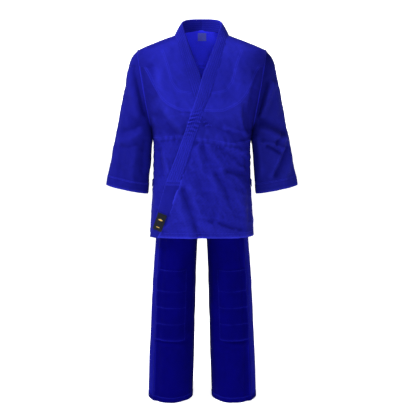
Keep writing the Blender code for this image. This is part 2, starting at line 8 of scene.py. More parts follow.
import bpy
import json
import numpy as np
from math import cos, pi, radians, sin
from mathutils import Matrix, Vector


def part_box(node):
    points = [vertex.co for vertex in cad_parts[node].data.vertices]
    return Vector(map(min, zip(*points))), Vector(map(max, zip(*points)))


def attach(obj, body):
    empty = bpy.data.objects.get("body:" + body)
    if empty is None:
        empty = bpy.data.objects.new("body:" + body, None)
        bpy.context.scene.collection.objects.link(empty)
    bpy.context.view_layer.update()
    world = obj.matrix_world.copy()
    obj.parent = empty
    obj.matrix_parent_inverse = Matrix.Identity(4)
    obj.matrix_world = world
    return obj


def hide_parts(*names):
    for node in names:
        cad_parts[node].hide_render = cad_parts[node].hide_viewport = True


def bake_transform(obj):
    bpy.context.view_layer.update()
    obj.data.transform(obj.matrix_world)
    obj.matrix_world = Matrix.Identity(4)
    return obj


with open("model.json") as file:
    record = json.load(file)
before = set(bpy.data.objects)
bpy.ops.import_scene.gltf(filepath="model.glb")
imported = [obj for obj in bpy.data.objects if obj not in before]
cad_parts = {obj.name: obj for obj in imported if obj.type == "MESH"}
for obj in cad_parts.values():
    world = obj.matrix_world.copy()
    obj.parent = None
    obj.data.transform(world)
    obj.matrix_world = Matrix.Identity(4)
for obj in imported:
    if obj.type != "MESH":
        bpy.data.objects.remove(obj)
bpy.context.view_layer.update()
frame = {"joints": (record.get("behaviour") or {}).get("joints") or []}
JOINTS = {joint["name"]: joint for joint in frame["joints"]}

# ------------------------------------------------------------------ measures


def middle_z(upper, lower):
    """Height of the seam between a CAD node and the one below it."""
    return (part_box(upper)[0].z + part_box(lower)[1].z) / 2


HEM_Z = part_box("right_front_skirt")[0].z
VENT_Z = middle_z("back_waist_skirt", "back_skirt")
WAIST_Z = middle_z("right_front_panel", "right_front_skirt")
YOKE_BACK_Z = middle_z("back_yoke", "back_panel")
YOKE_FRONT_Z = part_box("left_chest_yoke")[0].z
TIP_X = JOINTS["left_sleeve_raise"]["pos_m"][0] - 0.0015
TIP_Z = JOINTS["left_sleeve_raise"]["pos_m"][2]
NECK_Z = 1.366
ARMPIT_Z = 1.030
ARMHOLE_SLOPE = 0.165
ARMHOLE_HALF_DEPTH = 0.060
WAISTBAND = [corner.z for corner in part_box("waistband")]
LEG_HEM_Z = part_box("left_trouser_hem")[0].z + 0.0002

# Cloth
JACKET_CLOTH = 0.0018
SKIRT_CLOTH = 0.0014
TROUSER_CLOTH = 0.0012
OVERLAY = 0.0019          # an upper layer of cloth lies this far outside the one below
LAYER = 0.0084            # distance between the under front and the outer front
SPACING = 0.0042          # mesh size of the cloth
SKIRT_INSET = -0.0012     # the skirt's cloth lies this far inside the body's
FACING_INSET = -0.0036    # and the doubled cloth behind the neck this far
FACING_LOW_Z = 1.10
CORE_CLOTH = 0.0010       # stiffening strips, and the doubled cloth behind the neck

# Rows of stitches, as distances from the seam or the edge that they follow
WAIST_ROWS = (0.002, 0.008)
YOKE_ROWS = (0.003, 0.0095)
HEM_ROWS = (0.019, 0.0035)
HEM_DEPTH = 0.022
VENT_ROW_ANGLES = (0.030, 0.080)
LEG_ROW_ANGLES = (0.035, 0.110)

# Torso form: half width and depth of its level sections, which are super-ellipses
SECTION_POWER = 2.5
TORSO_SIDE = [(HEM_Z, 0.1945), (0.70, 0.1905), (0.78, 0.185), (0.86, 0.1805), (0.985, 0.180),
              (ARMPIT_Z, TIP_X - ARMHOLE_SLOPE * (TIP_Z - ARMPIT_Z))]
SHOULDER_SIDE = [(TIP_Z, TIP_X), (1.326, 0.204), (1.348, 0.148), (NECK_Z, 0.0945)]
TORSO_FRONT = [(HEM_Z, 0.124), (0.80, 0.122), (0.90, 0.119), (0.985, 0.116), (1.08, 0.120),
               (1.20, 0.124), (1.27, 0.116), (TIP_Z, 0.102), (1.34, 0.088), (NECK_Z, 0.074)]
BACK_EXTRA = 0.0058
BACK_NECK_RISE = 0.017
WAIST_LINE = [(-0.190, 0.003), (-0.152, 0.010), (-0.065, 0.017), (-0.029, 0.011), (0.026, 0.0055),
              (0.067, -0.001), (0.108, -0.0095), (0.150, -0.006), (0.190, 0.000)]

# Lapel band: its two edges as x at a height, on the wearer's left
LAPEL_OUTER = [(HEM_Z, -0.152), (0.718, -0.1165), (0.782, -0.0935), (0.83, -0.0775), (0.936, -0.0415),
               (0.998, -0.0226), (1.042, -0.0072), (1.081, 0.0047), (1.123, 0.0200), (1.157, 0.0321),
               (1.207, 0.0474), (1.253, 0.0624), (1.296, 0.0757), (1.340, 0.0860), (NECK_Z, 0.0940)]
LAPEL_INNER = [(HEM_Z, -0.1860), (0.718, -0.161), (0.782, -0.142), (0.83, -0.129), (0.936, -0.090),
               (0.998, -0.0680), (1.042, -0.0534), (1.081, -0.0417), (1.123, -0.0275), (1.157, -0.0160),
               (1.207, -0.0020), (1.232, 0.0050), (1.265, 0.0190), (1.300, 0.0320), (1.340, 0.0480)]
LAPEL_HALF = 0.0034
LAPEL_ROWS = (0.10, 0.26, 0.42, 0.58, 0.74, 0.90)
LAPEL_ROWS_END_Z = 0.845
LAPEL_CROSS_ROWS = (0.845, 0.832)
LAPEL_ROWS_TOP_Z = 1.20    # above this the rows lie flatter in the cloth
COLLAR_BASE = [(0.0000, 0.0790, 1.3850), (0.0420, 0.0715, 1.3820), (0.0750, 0.0440, 1.3760),
               (0.0950, 0.0060, 1.3672), (0.0958, -0.0380, 1.3608), (0.0905, -0.0660, 1.3505)]
COLLAR_TOP = [(0.0000, 0.0700, 1.4295), (0.0350, 0.0620, 1.4285), (0.0590, 0.0380, 1.4240),
              (0.0705, 0.0040, 1.4130), (0.0660, -0.0330, 1.3960), (0.0570, -0.0600, 1.3680)]
COLLAR_END = 3            # station at which the collar becomes a lapel
LAPEL_LEVELS = [1.340, 1.318, 1.292, 1.262, 1.232, 1.200, 1.168, 1.136, 1.104, 1.072, 1.040, 1.008, 0.970,
                0.930, 0.890, 0.850, 0.810, 0.770, 0.730, 0.690, 0.660, HEM_Z]

YOKE_EDGE = [(YOKE_FRONT_Z, 0.070), (1.110, 0.100), (1.130, 0.132), (1.158, 0.156),
             (1.190, 0.175), (1.228, 0.193), (1.256, 0.2085)]
YOKE_CORNER_Z = YOKE_EDGE[-1][0]
INNER_ARC = [(0.142, 1.312), (0.122, 1.258), (0.112, 1.212), (0.099, 1.189), (0.084, 1.171),
             (0.062, 1.166), (0.036, 1.162)]

# Sleeve: upper and under points of each section, with its half depth
SLEEVE = [((TIP_X, TIP_Z), (TORSO_SIDE[-1][1], ARMPIT_Z), ARMHOLE_HALF_DEPTH),
          ((0.2575, 1.2830), (0.1870, 1.0170), 0.064), ((0.2705, 1.2350), (0.1850, 1.0050), 0.066),
          ((0.2855, 1.1650), (0.1840, 0.9900), 0.066), ((0.3000, 1.0980), (0.1855, 0.9650), 0.064),
          ((0.3145, 1.0250), (0.1880, 0.9400), 0.060), ((0.3285, 0.9600), (0.1910, 0.9050), 0.055),
          ((0.3415, 0.8930), (0.1955, 0.8600), 0.050), ((0.3565, 0.8205), (0.2020, 0.7880), 0.045)]
CUFF_HEM = 0.45           # the turned cuff, as a share of the last station

# Leg: centre, half width and half depth of its sections
LEG = [(0.000, 0.1225, 0.0850, 0.0910), (0.140, 0.1174, 0.0851, 0.0930), (0.257, 0.1128, 0.0833, 0.0950),
       (0.376, 0.1085, 0.0820, 0.0965), (0.493, 0.1030, 0.0800, 0.0970), (0.609, 0.0958, 0.0780, 0.0970),
       (0.670, 0.0905, 0.0780, 0.0970), (0.700, 0.0860, 0.0843, 0.0970), (0.760, 0.0550, 0.1110, 0.0980),
       (0.850, 0.0250, 0.1350, 0.0970), (WAISTBAND[0], 0.0000, 0.1480, 0.0930),
       (WAISTBAND[1], 0.0000, 0.1480, 0.0930)]
CROTCH_Z = 0.700
LEG_OVERLAP = 0.0006      # each leg runs this far past the middle of the body, so that no slit shows
GUSSET_Z = (0.679, 0.628)
GUSSET_HALF_DEPTH = (0.034, 0.010)
TROUSER_HEM = 0.020
PATCH_LOW_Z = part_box("left_knee_patch_lower")[0].z + 0.006
PATCH_TOP_Z = 0.515
PATCH_ROWS = (0.4325, 0.369, 0.306)
PATCH_MIDDLE = -pi / 2 + 0.10
PATCH_HALF_ANGLE = radians(40)
SIDE_CREASE_ANGLE = radians(-44)

# ------------------------------------------------------------- small helpers


def profile(table, z, column=1):
    """Value of a table's column at heights z, on a smooth curve that doesn't overshoot its rows."""
    rows = np.array(table, float)
    x, y = rows[:, 0], rows[:, column]
    h = np.diff(x)
    slope = np.diff(y) / h
    tangent = np.concatenate([slope[:1], np.zeros(len(x) - 2), slope[-1:]])
    same = slope[:-1] * slope[1:] > 0
    near, far = 2 * h[1:] + h[:-1], h[1:] + 2 * h[:-1]
    harmonic = near / np.where(same, slope[:-1], 1) + far / np.where(same, slope[1:], 1)
    tangent[1:-1] = np.where(same, (near + far) / np.where(same, harmonic, 1), 0)
    z = np.clip(z, x[0], x[-1])
    i = np.clip(np.searchsorted(x, z, side="right") - 1, 0, len(h) - 1)
    t = (z - x[i]) / h[i]
    return ((1 + 2 * t) * (1 - t) ** 2 * y[i] + t * (1 - t) ** 2 * h[i] * tangent[i]
            + t * t * (3 - 2 * t) * y[i + 1] + t * t * (t - 1) * h[i] * tangent[i + 1])


def spline(points, place):
    """Points on a smooth curve through a list, at places counted in list steps."""
    p = np.array(points, float)
    p = np.concatenate([2 * p[:1] - p[1:2], p, 2 * p[-1:] - p[-2:-1]])
    i = np.clip(np.floor(place).astype(int), 0, len(points) - 2)
    t = (place - i)[..., None]
    a, b, c, d = p[i], p[i + 1], p[i + 2], p[i + 3]
    return 0.5 * (2 * b + (c - a) * t + (2 * a - 5 * b + 4 * c - d) * t ** 2
                  + (3 * b - a - 3 * c + d) * t ** 3)


def smooth(value):
    value = np.clip(value, 0, 1)
    return value * value * (3 - 2 * value)


def mix(a, b, share):
    return a + (b - a) * share


def signed_power(value, power):
    return np.sign(value) * np.abs(value) ** power


def unit(vectors):
    return vectors / np.maximum(np.linalg.norm(vectors, axis=-1, keepdims=True), 1e-12)


def bell(distance, width):
    return np.exp(-(distance / width) ** 2)


def arc(points, axis):
    """Length along one axis of a grid of points, from its first row or column."""
    step = np.linalg.norm(np.diff(points, axis=axis), axis=-1)
    start = np.zeros_like(np.take(step, [0], axis=axis))
    return np.concatenate([start, np.cumsum(step, axis=axis)], axis=axis)


# -------------------------------------------------------------------- relief

FOLD_DEPTH = 2.5          # every fold of the tables is this much deeper
FOLD_WIDTH = 0.85         # and this much narrower than its row says


def fold(x, z, height, end_height, width, *route):
    """A rounded ridge, or a valley if its height is negative, as one row of a table of folds."""
    height, end_height, width = height / 10000, end_height / 10000, width / 1000
    route = [(px / 1000, pz / 1000) for px, pz in route]
    nearest = np.full(np.shape(x), np.inf)
    share = np.zeros(np.shape(x))
    steps = len(route) - 1
    for i, ((ax, az), (bx, bz)) in enumerate(zip(route, route[1:])):
        dx, dz = bx - ax, bz - az
        t = np.clip(((x - ax) * dx + (z - az) * dz) / (dx * dx + dz * dz), 0, 1)
        away = (x - ax - t * dx) ** 2 + (z - az - t * dz) ** 2
        closer = away < nearest
        nearest = np.where(closer, away, nearest)
        share = np.where(closer, (i + t) / steps, share)
    return FOLD_DEPTH * mix(height, end_height, share) * np.exp(-nearest / (FOLD_WIDTH * width) ** 2)


def folds(x, z, listed):
    return sum(fold(x, z, *entry) for entry in listed)


def ripple(x, z, size, height, seed, stretch=1.0):
    """Gentle unevenness with waves of about a given size, stretched upwards."""
    random = np.random.default_rng(seed)
    total = np.zeros(np.shape(x))
    for _ in range(7):
        turn = random.uniform(0, 2 * pi)
        wave = 2 * pi / (size * random.uniform(0.7, 1.5))
        total += np.sin(wave * (x * cos(turn) + z * sin(turn) / stretch) + random.uniform(0, 2 * pi))
    return height * total / 7 ** 0.5


def creases(x, z, size, height, seed):
    """Soft crossing ridges, as in cotton that has been folded and worn."""
    random = np.random.default_rng(seed)
    total = np.zeros(np.shape(x))
    for _ in range(6):
        turn, wave = random.uniform(0, pi), pi / (size * random.uniform(0.9, 1.8))
        first, second, third = random.uniform(0, 2 * pi, 3)
        along, across = x * cos(turn) + z * sin(turn), z * cos(turn) - x * sin(turn)
        line = np.sin(wave * along + 1.1 * np.sin(across / size * 0.9 + first) + second)
        fade = smooth(0.4 + 0.9 * np.sin(across / size * 0.7 + 0.6 * np.sin(along / size) + third))
        total += np.exp(-(line / 0.34) ** 2) * fade
    return height * total


def pucker(along, away, size, height, reach, seed):
    """Small gathers along a sewn line, which die out away from it."""
    return ripple(along, away * 0.25, size, height, seed) * bell(away, reach)


# Each fold: its height at the start and at the end in tenths of a millimetre, its width in
# millimetres, and the (x, z) points of its route in millimetres.
CHEST_FOLDS = [
    (30, 30, 40, (-150, 1200), (-110, 1125), (-40, 1105)),
    (-26, -26, 34, (-170, 1035), (-120, 1015), (-70, 1015)),
    (28, 28, 40, (168, 1200), (130, 1130), (60, 1105)),
    (-34, -34, 22, (178, 1110), (160, 1050), (130, 1000)),
    (30, 30, 18, (22, 1110), (60, 1086), (105, 1100)),
    (-42, -42, 10, (98, 1030), (128, 1012), (156, 996)),
    (28, 28, 12, (80, 1046), (112, 1032), (148, 1020)),
    (34, 34, 11, (126, 1120), (142, 1060), (160, 1010)),
    (-36, -36, 10, (150, 1120), (164, 1070), (172, 1030)),
    (-22, -22, 14, (10, 1060), (50, 1040), (80, 1030)),
    (-34, -34, 16, (-150, 1085), (-122, 1045), (-98, 1012)),
    (26, 26, 14, (-120, 1095), (-92, 1060), (-72, 1030)),
    (28, 28, 12, (-172, 1060), (-160, 1020), (-155, 990)),
    (-16, -16, 12, (-80, 1120), (-48, 1096)),
    (-28, -28, 16, (-178, 1255), (-168, 1200), (-160, 1150)),
    (-34, -34, 14, (192, 1240), (184, 1180), (178, 1130)),
    (16, 16, 20, (120, 1290), (135, 1230), (140, 1185)),
    (14, 14, 20, (-120, 1300), (-140, 1240), (-142, 1190)),
]
SKIRT_FOLDS = [
    (-50, -30, 10, (-66, 815), (-40, 740), (-11, 655)),
    (42, 30, 18, (-92, 800), (-66, 725), (-40, 650)),
    (40, 20, 16, (-38, 825), (-10, 745), (22, 668)),
    (-38, -12, 9, (52, 872), (89, 815), (107, 748)),
    (34, 10, 14, (34, 860), (66, 800), (82, 740)),
    (34, 12, 13, (74, 885), (112, 830), (134, 762)),
    (-36, -14, 9, (4, 972), (24, 925), (48, 885)),
    (36, 14, 12, (24, 975), (52, 930), (80, 900)),
    (30, 10, 12, (-16, 965), (-4, 915), (12, 865)),
    (-30, -10, 10, (60, 972), (92, 945), (125, 930)),
    (26, 26, 9, (92, 968), (124, 958), (158, 950)),
    (-36, -36, 12, (90, 884), (122, 880), (153, 872)),
    (36, 36, 13, (0, 690), (55, 668), (128, 642)),
    (-30, -30, 11, (30, 705), (80, 690), (140, 668)),
    (-30, -30, 10, (160, 930), (172, 830), (176, 700)),
    (30, 30, 15, (134, 800), (150, 730), (156, 650)),
    (36, 36, 11, (-136, 945), (-126, 910), (-116, 880)),
    (-30, -30, 10, (-158, 950), (-152, 905), (-142, 865)),
    (24, 24, 14, (-172, 860), (-170, 760), (-174, 660)),
    (-20, -20, 16, (-12, 850), (20, 790), (48, 720)),
]
BACK_FOLDS = [
    (30, 30, 18, (-60, 1190), (-82, 1110), (-90, 1020)),
    (30, 30, 18, (66, 1190), (84, 1120), (98, 1030)),
    (-34, -34, 14, (-120, 1180), (-134, 1110), (-142, 1040)),
    (-34, -34, 14, (124, 1180), (138, 1105), (146, 1035)),
    (-24, -24, 12, (-10, 1080), (-30, 1030), (-40, 995)),
    (24, 24, 12, (20, 1070), (36, 1030), (44, 995)),
    (16, 16, 14, (-150, 1250), (-90, 1268), (-40, 1286)),
    (16, 16, 14, (150, 1250), (90, 1268), (40, 1286)),
    (40, 40, 20, (-90, 970), (-70, 880), (-75, 780), (-80, 650)),
    (-34, -34, 14, (-40, 965), (-34, 880), (-40, 780), (-30, 650)),
    (40, 40, 18, (15, 965), (10, 880), (0, 780), (8, 650)),
    (-36, -36, 15, (60, 965), (56, 880), (50, 780), (58, 650)),
    (40, 40, 20, (105, 965), (100, 880), (104, 780), (112, 650)),
    (-30, -30, 13, (150, 950), (150, 860), (156, 760)),
    (-30, -30, 13, (-140, 950), (-134, 860), (-140, 760)),
]
LEFT_SLEEVE_FOLDS = [
    (50, 50, 13, (258, 1190), (236, 1130), (218, 1080)),
    (-50, -50, 12, (236, 1200), (216, 1140), (204, 1090)),
    (-58, -58, 16, (212, 1062), (250, 1048), (288, 1030)),
    (52, 52, 14, (222, 1032), (262, 1012), (302, 996)),
    (-52, -52, 9, (300, 1022), (286, 998), (272, 974)),
    (-48, -48, 8, (240, 970), (264, 960), (290, 944)),
    (36, 36, 9, (228, 984), (258, 978), (280, 966)),
    (-52, -52, 10, (314, 962), (294, 912), (272, 864)),
    (40, 40, 12, (298, 960), (276, 908), (254, 862)),
    (36, 36, 12, (330, 930), (316, 880), (300, 838)),
    (30, 30, 12, (206, 1000), (216, 940), (220, 880)),
    (24, 24, 14, (284, 1200), (276, 1140), (272, 1090)),
]
RIGHT_SLEEVE_FOLDS = [
    (-50, -50, 13, (246, 1250), (226, 1180), (204, 1090)),
    (30, 30, 15, (262, 1230), (250, 1150), (232, 1080)),
    (-30, -30, 15, (214, 1060), (246, 1030), (282, 1020)),
    (30, 30, 16, (222, 1020), (258, 990), (300, 985)),
    (28, 28, 16, (240, 960), (252, 900), (258, 840)),
    (-24, -24, 14, (290, 960), (298, 900), (306, 840)),
    (-26, -26, 12, (206, 990), (214, 930), (218, 870)),
]


def waist_line(x):
    """Height of the waist seam across the fronts, which the crossed layers pull out of level."""
    return WAIST_Z + profile(WAIST_LINE, x)


def seam_relief(z, line):
    """The waist seam: cloth pulled in at the seam and gathered beside it."""
    return -0.0016 * bell(z - line, 0.009)


def torso_relief(points, side):
    """Folds of the jacket's body: side is 1 or -1 for a front, and 0 for the back."""
    x, z = points[..., 0], points[..., 2]
    if side == 0:
        cloth = folds(x, z, BACK_FOLDS) + ripple(x, z, 0.075, 0.0007, 5, 1.6)
        cloth += creases(x, z, 0.060, 0.0012, 35) * smooth((WAIST_Z + 0.1 - z) / 0.15)
        return cloth + seam_relief(z, WAIST_Z) + pucker(x, z - WAIST_Z, 0.017, 0.0014, 0.020, 11)
    line = waist_line(x)
    cloth = folds(x, z, CHEST_FOLDS) + 0.85 * folds(x, z, SKIRT_FOLDS) + ripple(x, z, 0.070, 0.0008, 3, 1.5)
    cloth += seam_relief(z, line) + pucker(x, z - line, 0.018, 0.0014, 0.022, 12)
    cloth += 0.0022 * bell(z - line - 0.008, 0.0055) * (1 + ripple(x, z, 0.03, 0.25, 13))
    cloth += ripple(x, z, 0.024, 0.00045, 31)
    low = smooth((WAIST_Z - z) / 0.04)
    fine = creases(x, z, 0.024, 0.0011, 36) * smooth((0.168 - np.abs(x)) / 0.03)
    above = creases(x, z, 0.070, 0.0010, 34) * (1 - low) * smooth((1.16 - z) / 0.10)
    cloth += (creases(x, z, 0.046, 0.0020, 33) + fine) * low + above
    cloth *= 0.45 + 0.55 * smooth((torso_side(z) - np.abs(x)) / 0.03)
    if side > 0:
        return np.clip(cloth, -0.0056, 0.0095)
    covered = smooth((x - profile(LAPEL_INNER, z) - 0.004) / 0.02)
    return mix(cloth, np.minimum(cloth, 0) * 0.3, covered)


# --------------------------------------------------------------------- forms


def armhole_depth(z):
    share = (z - (ARMPIT_Z + TIP_Z) / 2) / ((TIP_Z - ARMPIT_Z) / 2)
    return ARMHOLE_HALF_DEPTH * np.sqrt(np.clip(1 - share * share, 0, 1))


def torso_side(z):
    plane = TIP_X - ARMHOLE_SLOPE * (TIP_Z - z)
    above = np.where(z < TIP_Z, plane, profile(SHOULDER_SIDE, z))
    return np.where(z < ARMPIT_Z, profile(TORSO_SIDE, z), above)


def torso_depth(z, back):
    return profile(TORSO_FRONT, z) + BACK_EXTRA * back


def half_width(z, back):
    cut = (armhole_depth(z) / torso_depth(z, back)) ** SECTION_POWER
    return torso_side(z) / (1 - cut) ** (1 / SECTION_POWER)


def side_angle(z, back=False):
    """Angle from the middle of the front or back at which the armhole or the side seam lies."""
    return np.arccos(np.clip((armhole_depth(z) / torso_depth(z, back)) ** (SECTION_POWER / 2), 0, 1))


def torso(angle, z, out=0.0):
    """Point of the torso at an angle from the middle of the front, positive towards +X."""
    angle = np.where(angle > pi, angle - 2 * pi, angle)
    back = np.abs(angle) > pi / 2
    x = (half_width(z, back) + out) * signed_power(np.sin(angle), 2 / SECTION_POWER)
    y = -(torso_depth(z, back) + out) * signed_power(np.cos(angle), 2 / SECTION_POWER)
    climb = np.clip((z - YOKE_BACK_Z) / (NECK_Z - YOKE_BACK_Z), 0, 1)
    lift = BACK_NECK_RISE * climb ** 3 * np.clip(-np.cos(angle), 0, 1) * back
    return np.stack([x, y, z + lift], -1)


def angle_at(x, z):
    share = np.clip(np.abs(x) / half_width(z, False), 0, 1)
    return np.sign(x) * np.arcsin(share ** (SECTION_POWER / 2))


def front_layer(angle, side):
    """How far out one front lies: the wearer's left front covers the right one."""
    across = smooth(0.5 + angle / pi)
    return LAYER * (1 - across) if side > 0 else -LAYER * across


def front(side, out=0.0):
    """Form of one front, taking an angle counted towards that front's own side, and a height."""
    def form(angle, z):
        return torso(side * angle, z, front_layer(side * angle, side) + out)
    return form


def back(out=0.0):
    def form(angle, z):
        return torso(angle, z, out)
    return form


def sleeve(side, out=0.0):
    """Form of a sleeve: an angle round it from its upper edge, negative in front, and a station."""
    upper = [point for point, _, _ in SLEEVE]
    under = [point for _, point, _ in SLEEVE]
    deep = [[half] for _, _, half in SLEEVE]

    def form(turn, place):
        place = np.broadcast_to(place, np.shape(turn))
        a, b, half = spline(upper, place), spline(under, place), spline(deep, place)[..., 0]
        length = np.linalg.norm(a - b, axis=-1)
        share = (1 + np.cos(turn)) / 2
        spread = 1 + 2 * out / length
        middle = (a + b) / 2
        x, z = np.moveaxis(middle + (mix(b, a, share[..., None]) - middle) * spread[..., None], -1, 0)
        return np.stack([side * x, (half + out) * np.sin(turn), z], -1)
    return form


def leg(side, out=0.0):
    """Form of a leg: an angle from its outer side, negative in front, and a height."""
    def form(angle, z):
        centre, half, deep = (profile(LEG, z, column) for column in (1, 2, 3))
        x = centre + (half + out) * np.cos(angle)
        return np.stack([side * x, (deep + out) * np.sin(angle), z + 0 * angle], -1)
    return form


def inner_angle(z):
    """Angle at which a leg meets the middle of the body, or half a turn where it is on its own."""
    centre, half = profile(LEG, z), profile(LEG, z, 2)
    return np.where(z > CROTCH_Z, np.arccos(np.clip(-(centre + LEG_OVERLAP) / half, -1, 1)), pi)


def leg_relief(points, side):
    x, y, z = side * points[..., 0], points[..., 1], points[..., 2]
    centre, half = profile(LEG, z), profile(LEG, z, 2)
    across = (x - centre) / half
    outer = np.clip(across, -1, 1)
    in_front = smooth(-y / 0.05)
    low = smooth((0.66 - z) / 0.08)
    crease = cos(SIDE_CREASE_ANGLE)
    total = 0.0036 * low * in_front * bell(outer - crease, 0.055)
    total -= 0.0034 * low * in_front * bell(outer - crease + 0.16, 0.085)
    wander = 0.10 * np.sin(z * 9 + side) + 0.05 * np.sin(z * 23)
    total += low * (0.0026 * bell(across + 0.25 + wander, 0.22)
                    - 0.0018 * bell(across + 0.72 + wander, 0.14))
    below = PATCH_LOW_Z - 0.004
    sag = bell(z - below + 0.012 - 0.008 * across ** 2, 0.009) * smooth((0.85 - np.abs(across - 0.1)) / 0.5)
    total += in_front * (0.0050 * sag - 0.0040 * bell(z - below, 0.005) * bell(across - 0.15, 0.6))
    for height, push, width in ((0.46, 0.0018, 0.020), (0.345, -0.0016, 0.014), (0.39, 0.0016, 0.016)):
        total += in_front * push * bell(z - height - 0.02 * across, width) * bell(across - 0.6, 0.5)
    for height, push, lean in ((0.50, 0.0040, 0.05), (0.455, -0.0045, -0.04), (0.41, 0.0045, 0.04),
                               (0.37, -0.0035, 0.06), (0.30, 0.0025, -0.05)):
        total += (1 - in_front) * push * bell(z - height - lean * across, 0.016)
    total += ripple(side * x + 3 * y, z, 0.11, 0.0014, 8 + side, 2.2) + ripple(x, z, 0.030, 0.0004, 19)
    total += creases(x + 0.5 * y, z * 0.6, 0.060, 0.0011, 27 + side)
    total *= 1 - 0.85 * smooth((np.abs(across) - 0.70) / 0.25)
    return total - 0.0012 * bell(z - TROUSER_HEM, 0.003)


def sleeve_relief(points, side):
    x, y, z = side * points[..., 0], points[..., 1], points[..., 2]
    listed = LEFT_SLEEVE_FOLDS if side > 0 else RIGHT_SLEEVE_FOLDS
    faces_front = smooth(0.5 - y / 0.05)
    total = faces_front * folds(x, z, listed)
    total += (1 - faces_front) * 0.8 * folds(x + 0.012, z + 0.03, RIGHT_SLEEVE_FOLDS)
    from_ring = (x - TORSO_SIDE[-1][1]) - ARMHOLE_SLOPE * (z - ARMPIT_Z)
    total += 0.0030 * bell(from_ring - 0.020, 0.016) * smooth((z - 1.12) / 0.12)
    total += creases(x + 0.6 * y, z, 0.060, 0.0012, 25 + side)
    total *= 0.18 + 0.67 * smooth(np.abs(y) / 0.040)
    return total + ripple(x + 2 * y, z, 0.06, 0.0008, 21 + side, 1.6) + ripple(x, z, 0.022, 0.0003, 23)


# -------------------------------------------------------------- making pieces


def normals_of(form, u, v):
    """Outward normals of a form, from its slopes."""
    du, dv = 1e-3, 1e-3
    across = form(u + du, v) - form(u - du, v)
    up = form(u, v + dv) - form(u, v - dv)
    return unit(np.cross(across, up))


def facing_of(form, u, v, outward):
    """1 or -1, so that the form's normals at (u, v) point outward when multiplied by it."""
    return 1 if np.sum(normals_of(form, np.array([u]), np.array([v]))[0] * outward) > 0 else -1


def laid(form, relief, u, v, facing, extra=0.0):
    """Points of a form moved by its relief, and the form's normals. facing is 1 or -1."""
    base = form(u, v)
    normal = facing * normals_of(form, u, v)
    return base + normal * (relief(base) + extra)[..., None], normal


def grid_normals(points, like):
    across = np.gradient(points, axis=1)
    up = np.gradient(points, axis=0)
    normal = unit(np.cross(across, up))
    return normal * np.sign(np.sum(normal * like, axis=-1, keepdims=True))


STITCH_LENGTH = 0.0030
STITCH_PITCH = 0.0042
STITCH_RADIUS = 0.00062


def stitches(lines):
    """Vertices and faces of small raised stitches along lines, each given as points and normals."""
    verts, faces = [], []
    start = 0
    for points, normal in lines:
        length = arc(points, 0)
        count = int(length[-1] / STITCH_PITCH)
        if count < 1:
            continue
        at = (np.arange(count) + 0.5) * length[-1] / count
        centre = np.stack([np.interp(at, length, points[:, k]) for k in range(3)], -1)
        ahead = np.stack([np.interp(at + 0.0005, length, points[:, k]) for k in range(3)], -1)
        behind = np.stack([np.interp(at - 0.0005, length, points[:, k]) for k in range(3)], -1)
        along = unit(ahead - behind)
        up = unit(np.stack([np.interp(at, length, normal[:, k]) for k in range(3)], -1))
        side = np.cross(along, up)
        ring = []
        for end in (-0.30, 0.30):
            middle = centre + along * end * STITCH_LENGTH
            ring += [middle + up * STITCH_RADIUS * 1.3, middle + side * STITCH_RADIUS,
                     middle - up * STITCH_RADIUS, middle - side * STITCH_RADIUS]
        ring += [centre - along * STITCH_LENGTH / 2, centre + along * STITCH_LENGTH / 2]
        verts.append(np.stack(ring, 1).reshape(-1, 3))
        for stitch in range(count):
            o = start + stitch * 10
            for k in range(4):
                n = (k + 1) % 4
                faces.append((o + k, o + n, o + 4 + n, o + 4 + k))
                faces.append((o + 8, o + n, o + k))
                faces.append((o + 9, o + 4 + k, o + 4 + n))
        start += count * 10
    return (np.concatenate(verts) if verts else np.zeros((0, 3))), faces


def mesh_piece(name, verts, faces, corner_uv, wear_and_shading, slot, lines):
    """A Blender object from shell faces, its stitches, a UV map in metres and a value per point that holds
    both wear and painted light and shade.
    """
    sewn, sewn_faces = stitches(lines)
    total = len(verts)
    mesh = bpy.data.meshes.new(name)
    all_faces = faces + [tuple(total + i for i in face) for face in sewn_faces]
    mesh.from_pydata(np.concatenate([verts, sewn]).tolist(), [], all_faces)
    mesh.materials.append(MATERIALS[slot])
    mesh.materials.append(MATERIALS["dark_stitching" if slot in ("trousers", "patch") else "stitching"])
    indices = np.zeros(len(all_faces), np.int32)
    indices[len(faces):] = 1
    mesh.polygons.foreach_set("material_index", indices)
    uv = mesh.uv_layers.new(name="cloth")
    flat = np.zeros((len(mesh.loops), 2), np.float32)
    flat[:len(corner_uv)] = corner_uv
    uv.data.foreach_set("uv", flat.ravel())
    worn_and_lit = mesh.attributes.new("wear_and_shading", "FLOAT", "POINT")
    worn_and_lit.data.foreach_set("value", np.concatenate([wear_and_shading, np.zeros(len(sewn))]).astype(np.float32))
    mesh.shade_smooth()
    mesh.set_sharp_from_angle(angle=radians(50))
    piece = bpy.data.objects.new(name, mesh)
    bpy.context.scene.collection.objects.link(piece)
    return piece


def ring_faces(rows, columns, closed=False):
    """Quads of a tube of points, given row by row round it; closed joins its last row to its first."""
    return [(r * columns + c, r * columns + (c + 1) % columns,
             (r + 1) % rows * columns + (c + 1) % columns, (r + 1) % rows * columns + c)
            for r in range(rows if closed else rows - 1) for c in range(columns)]


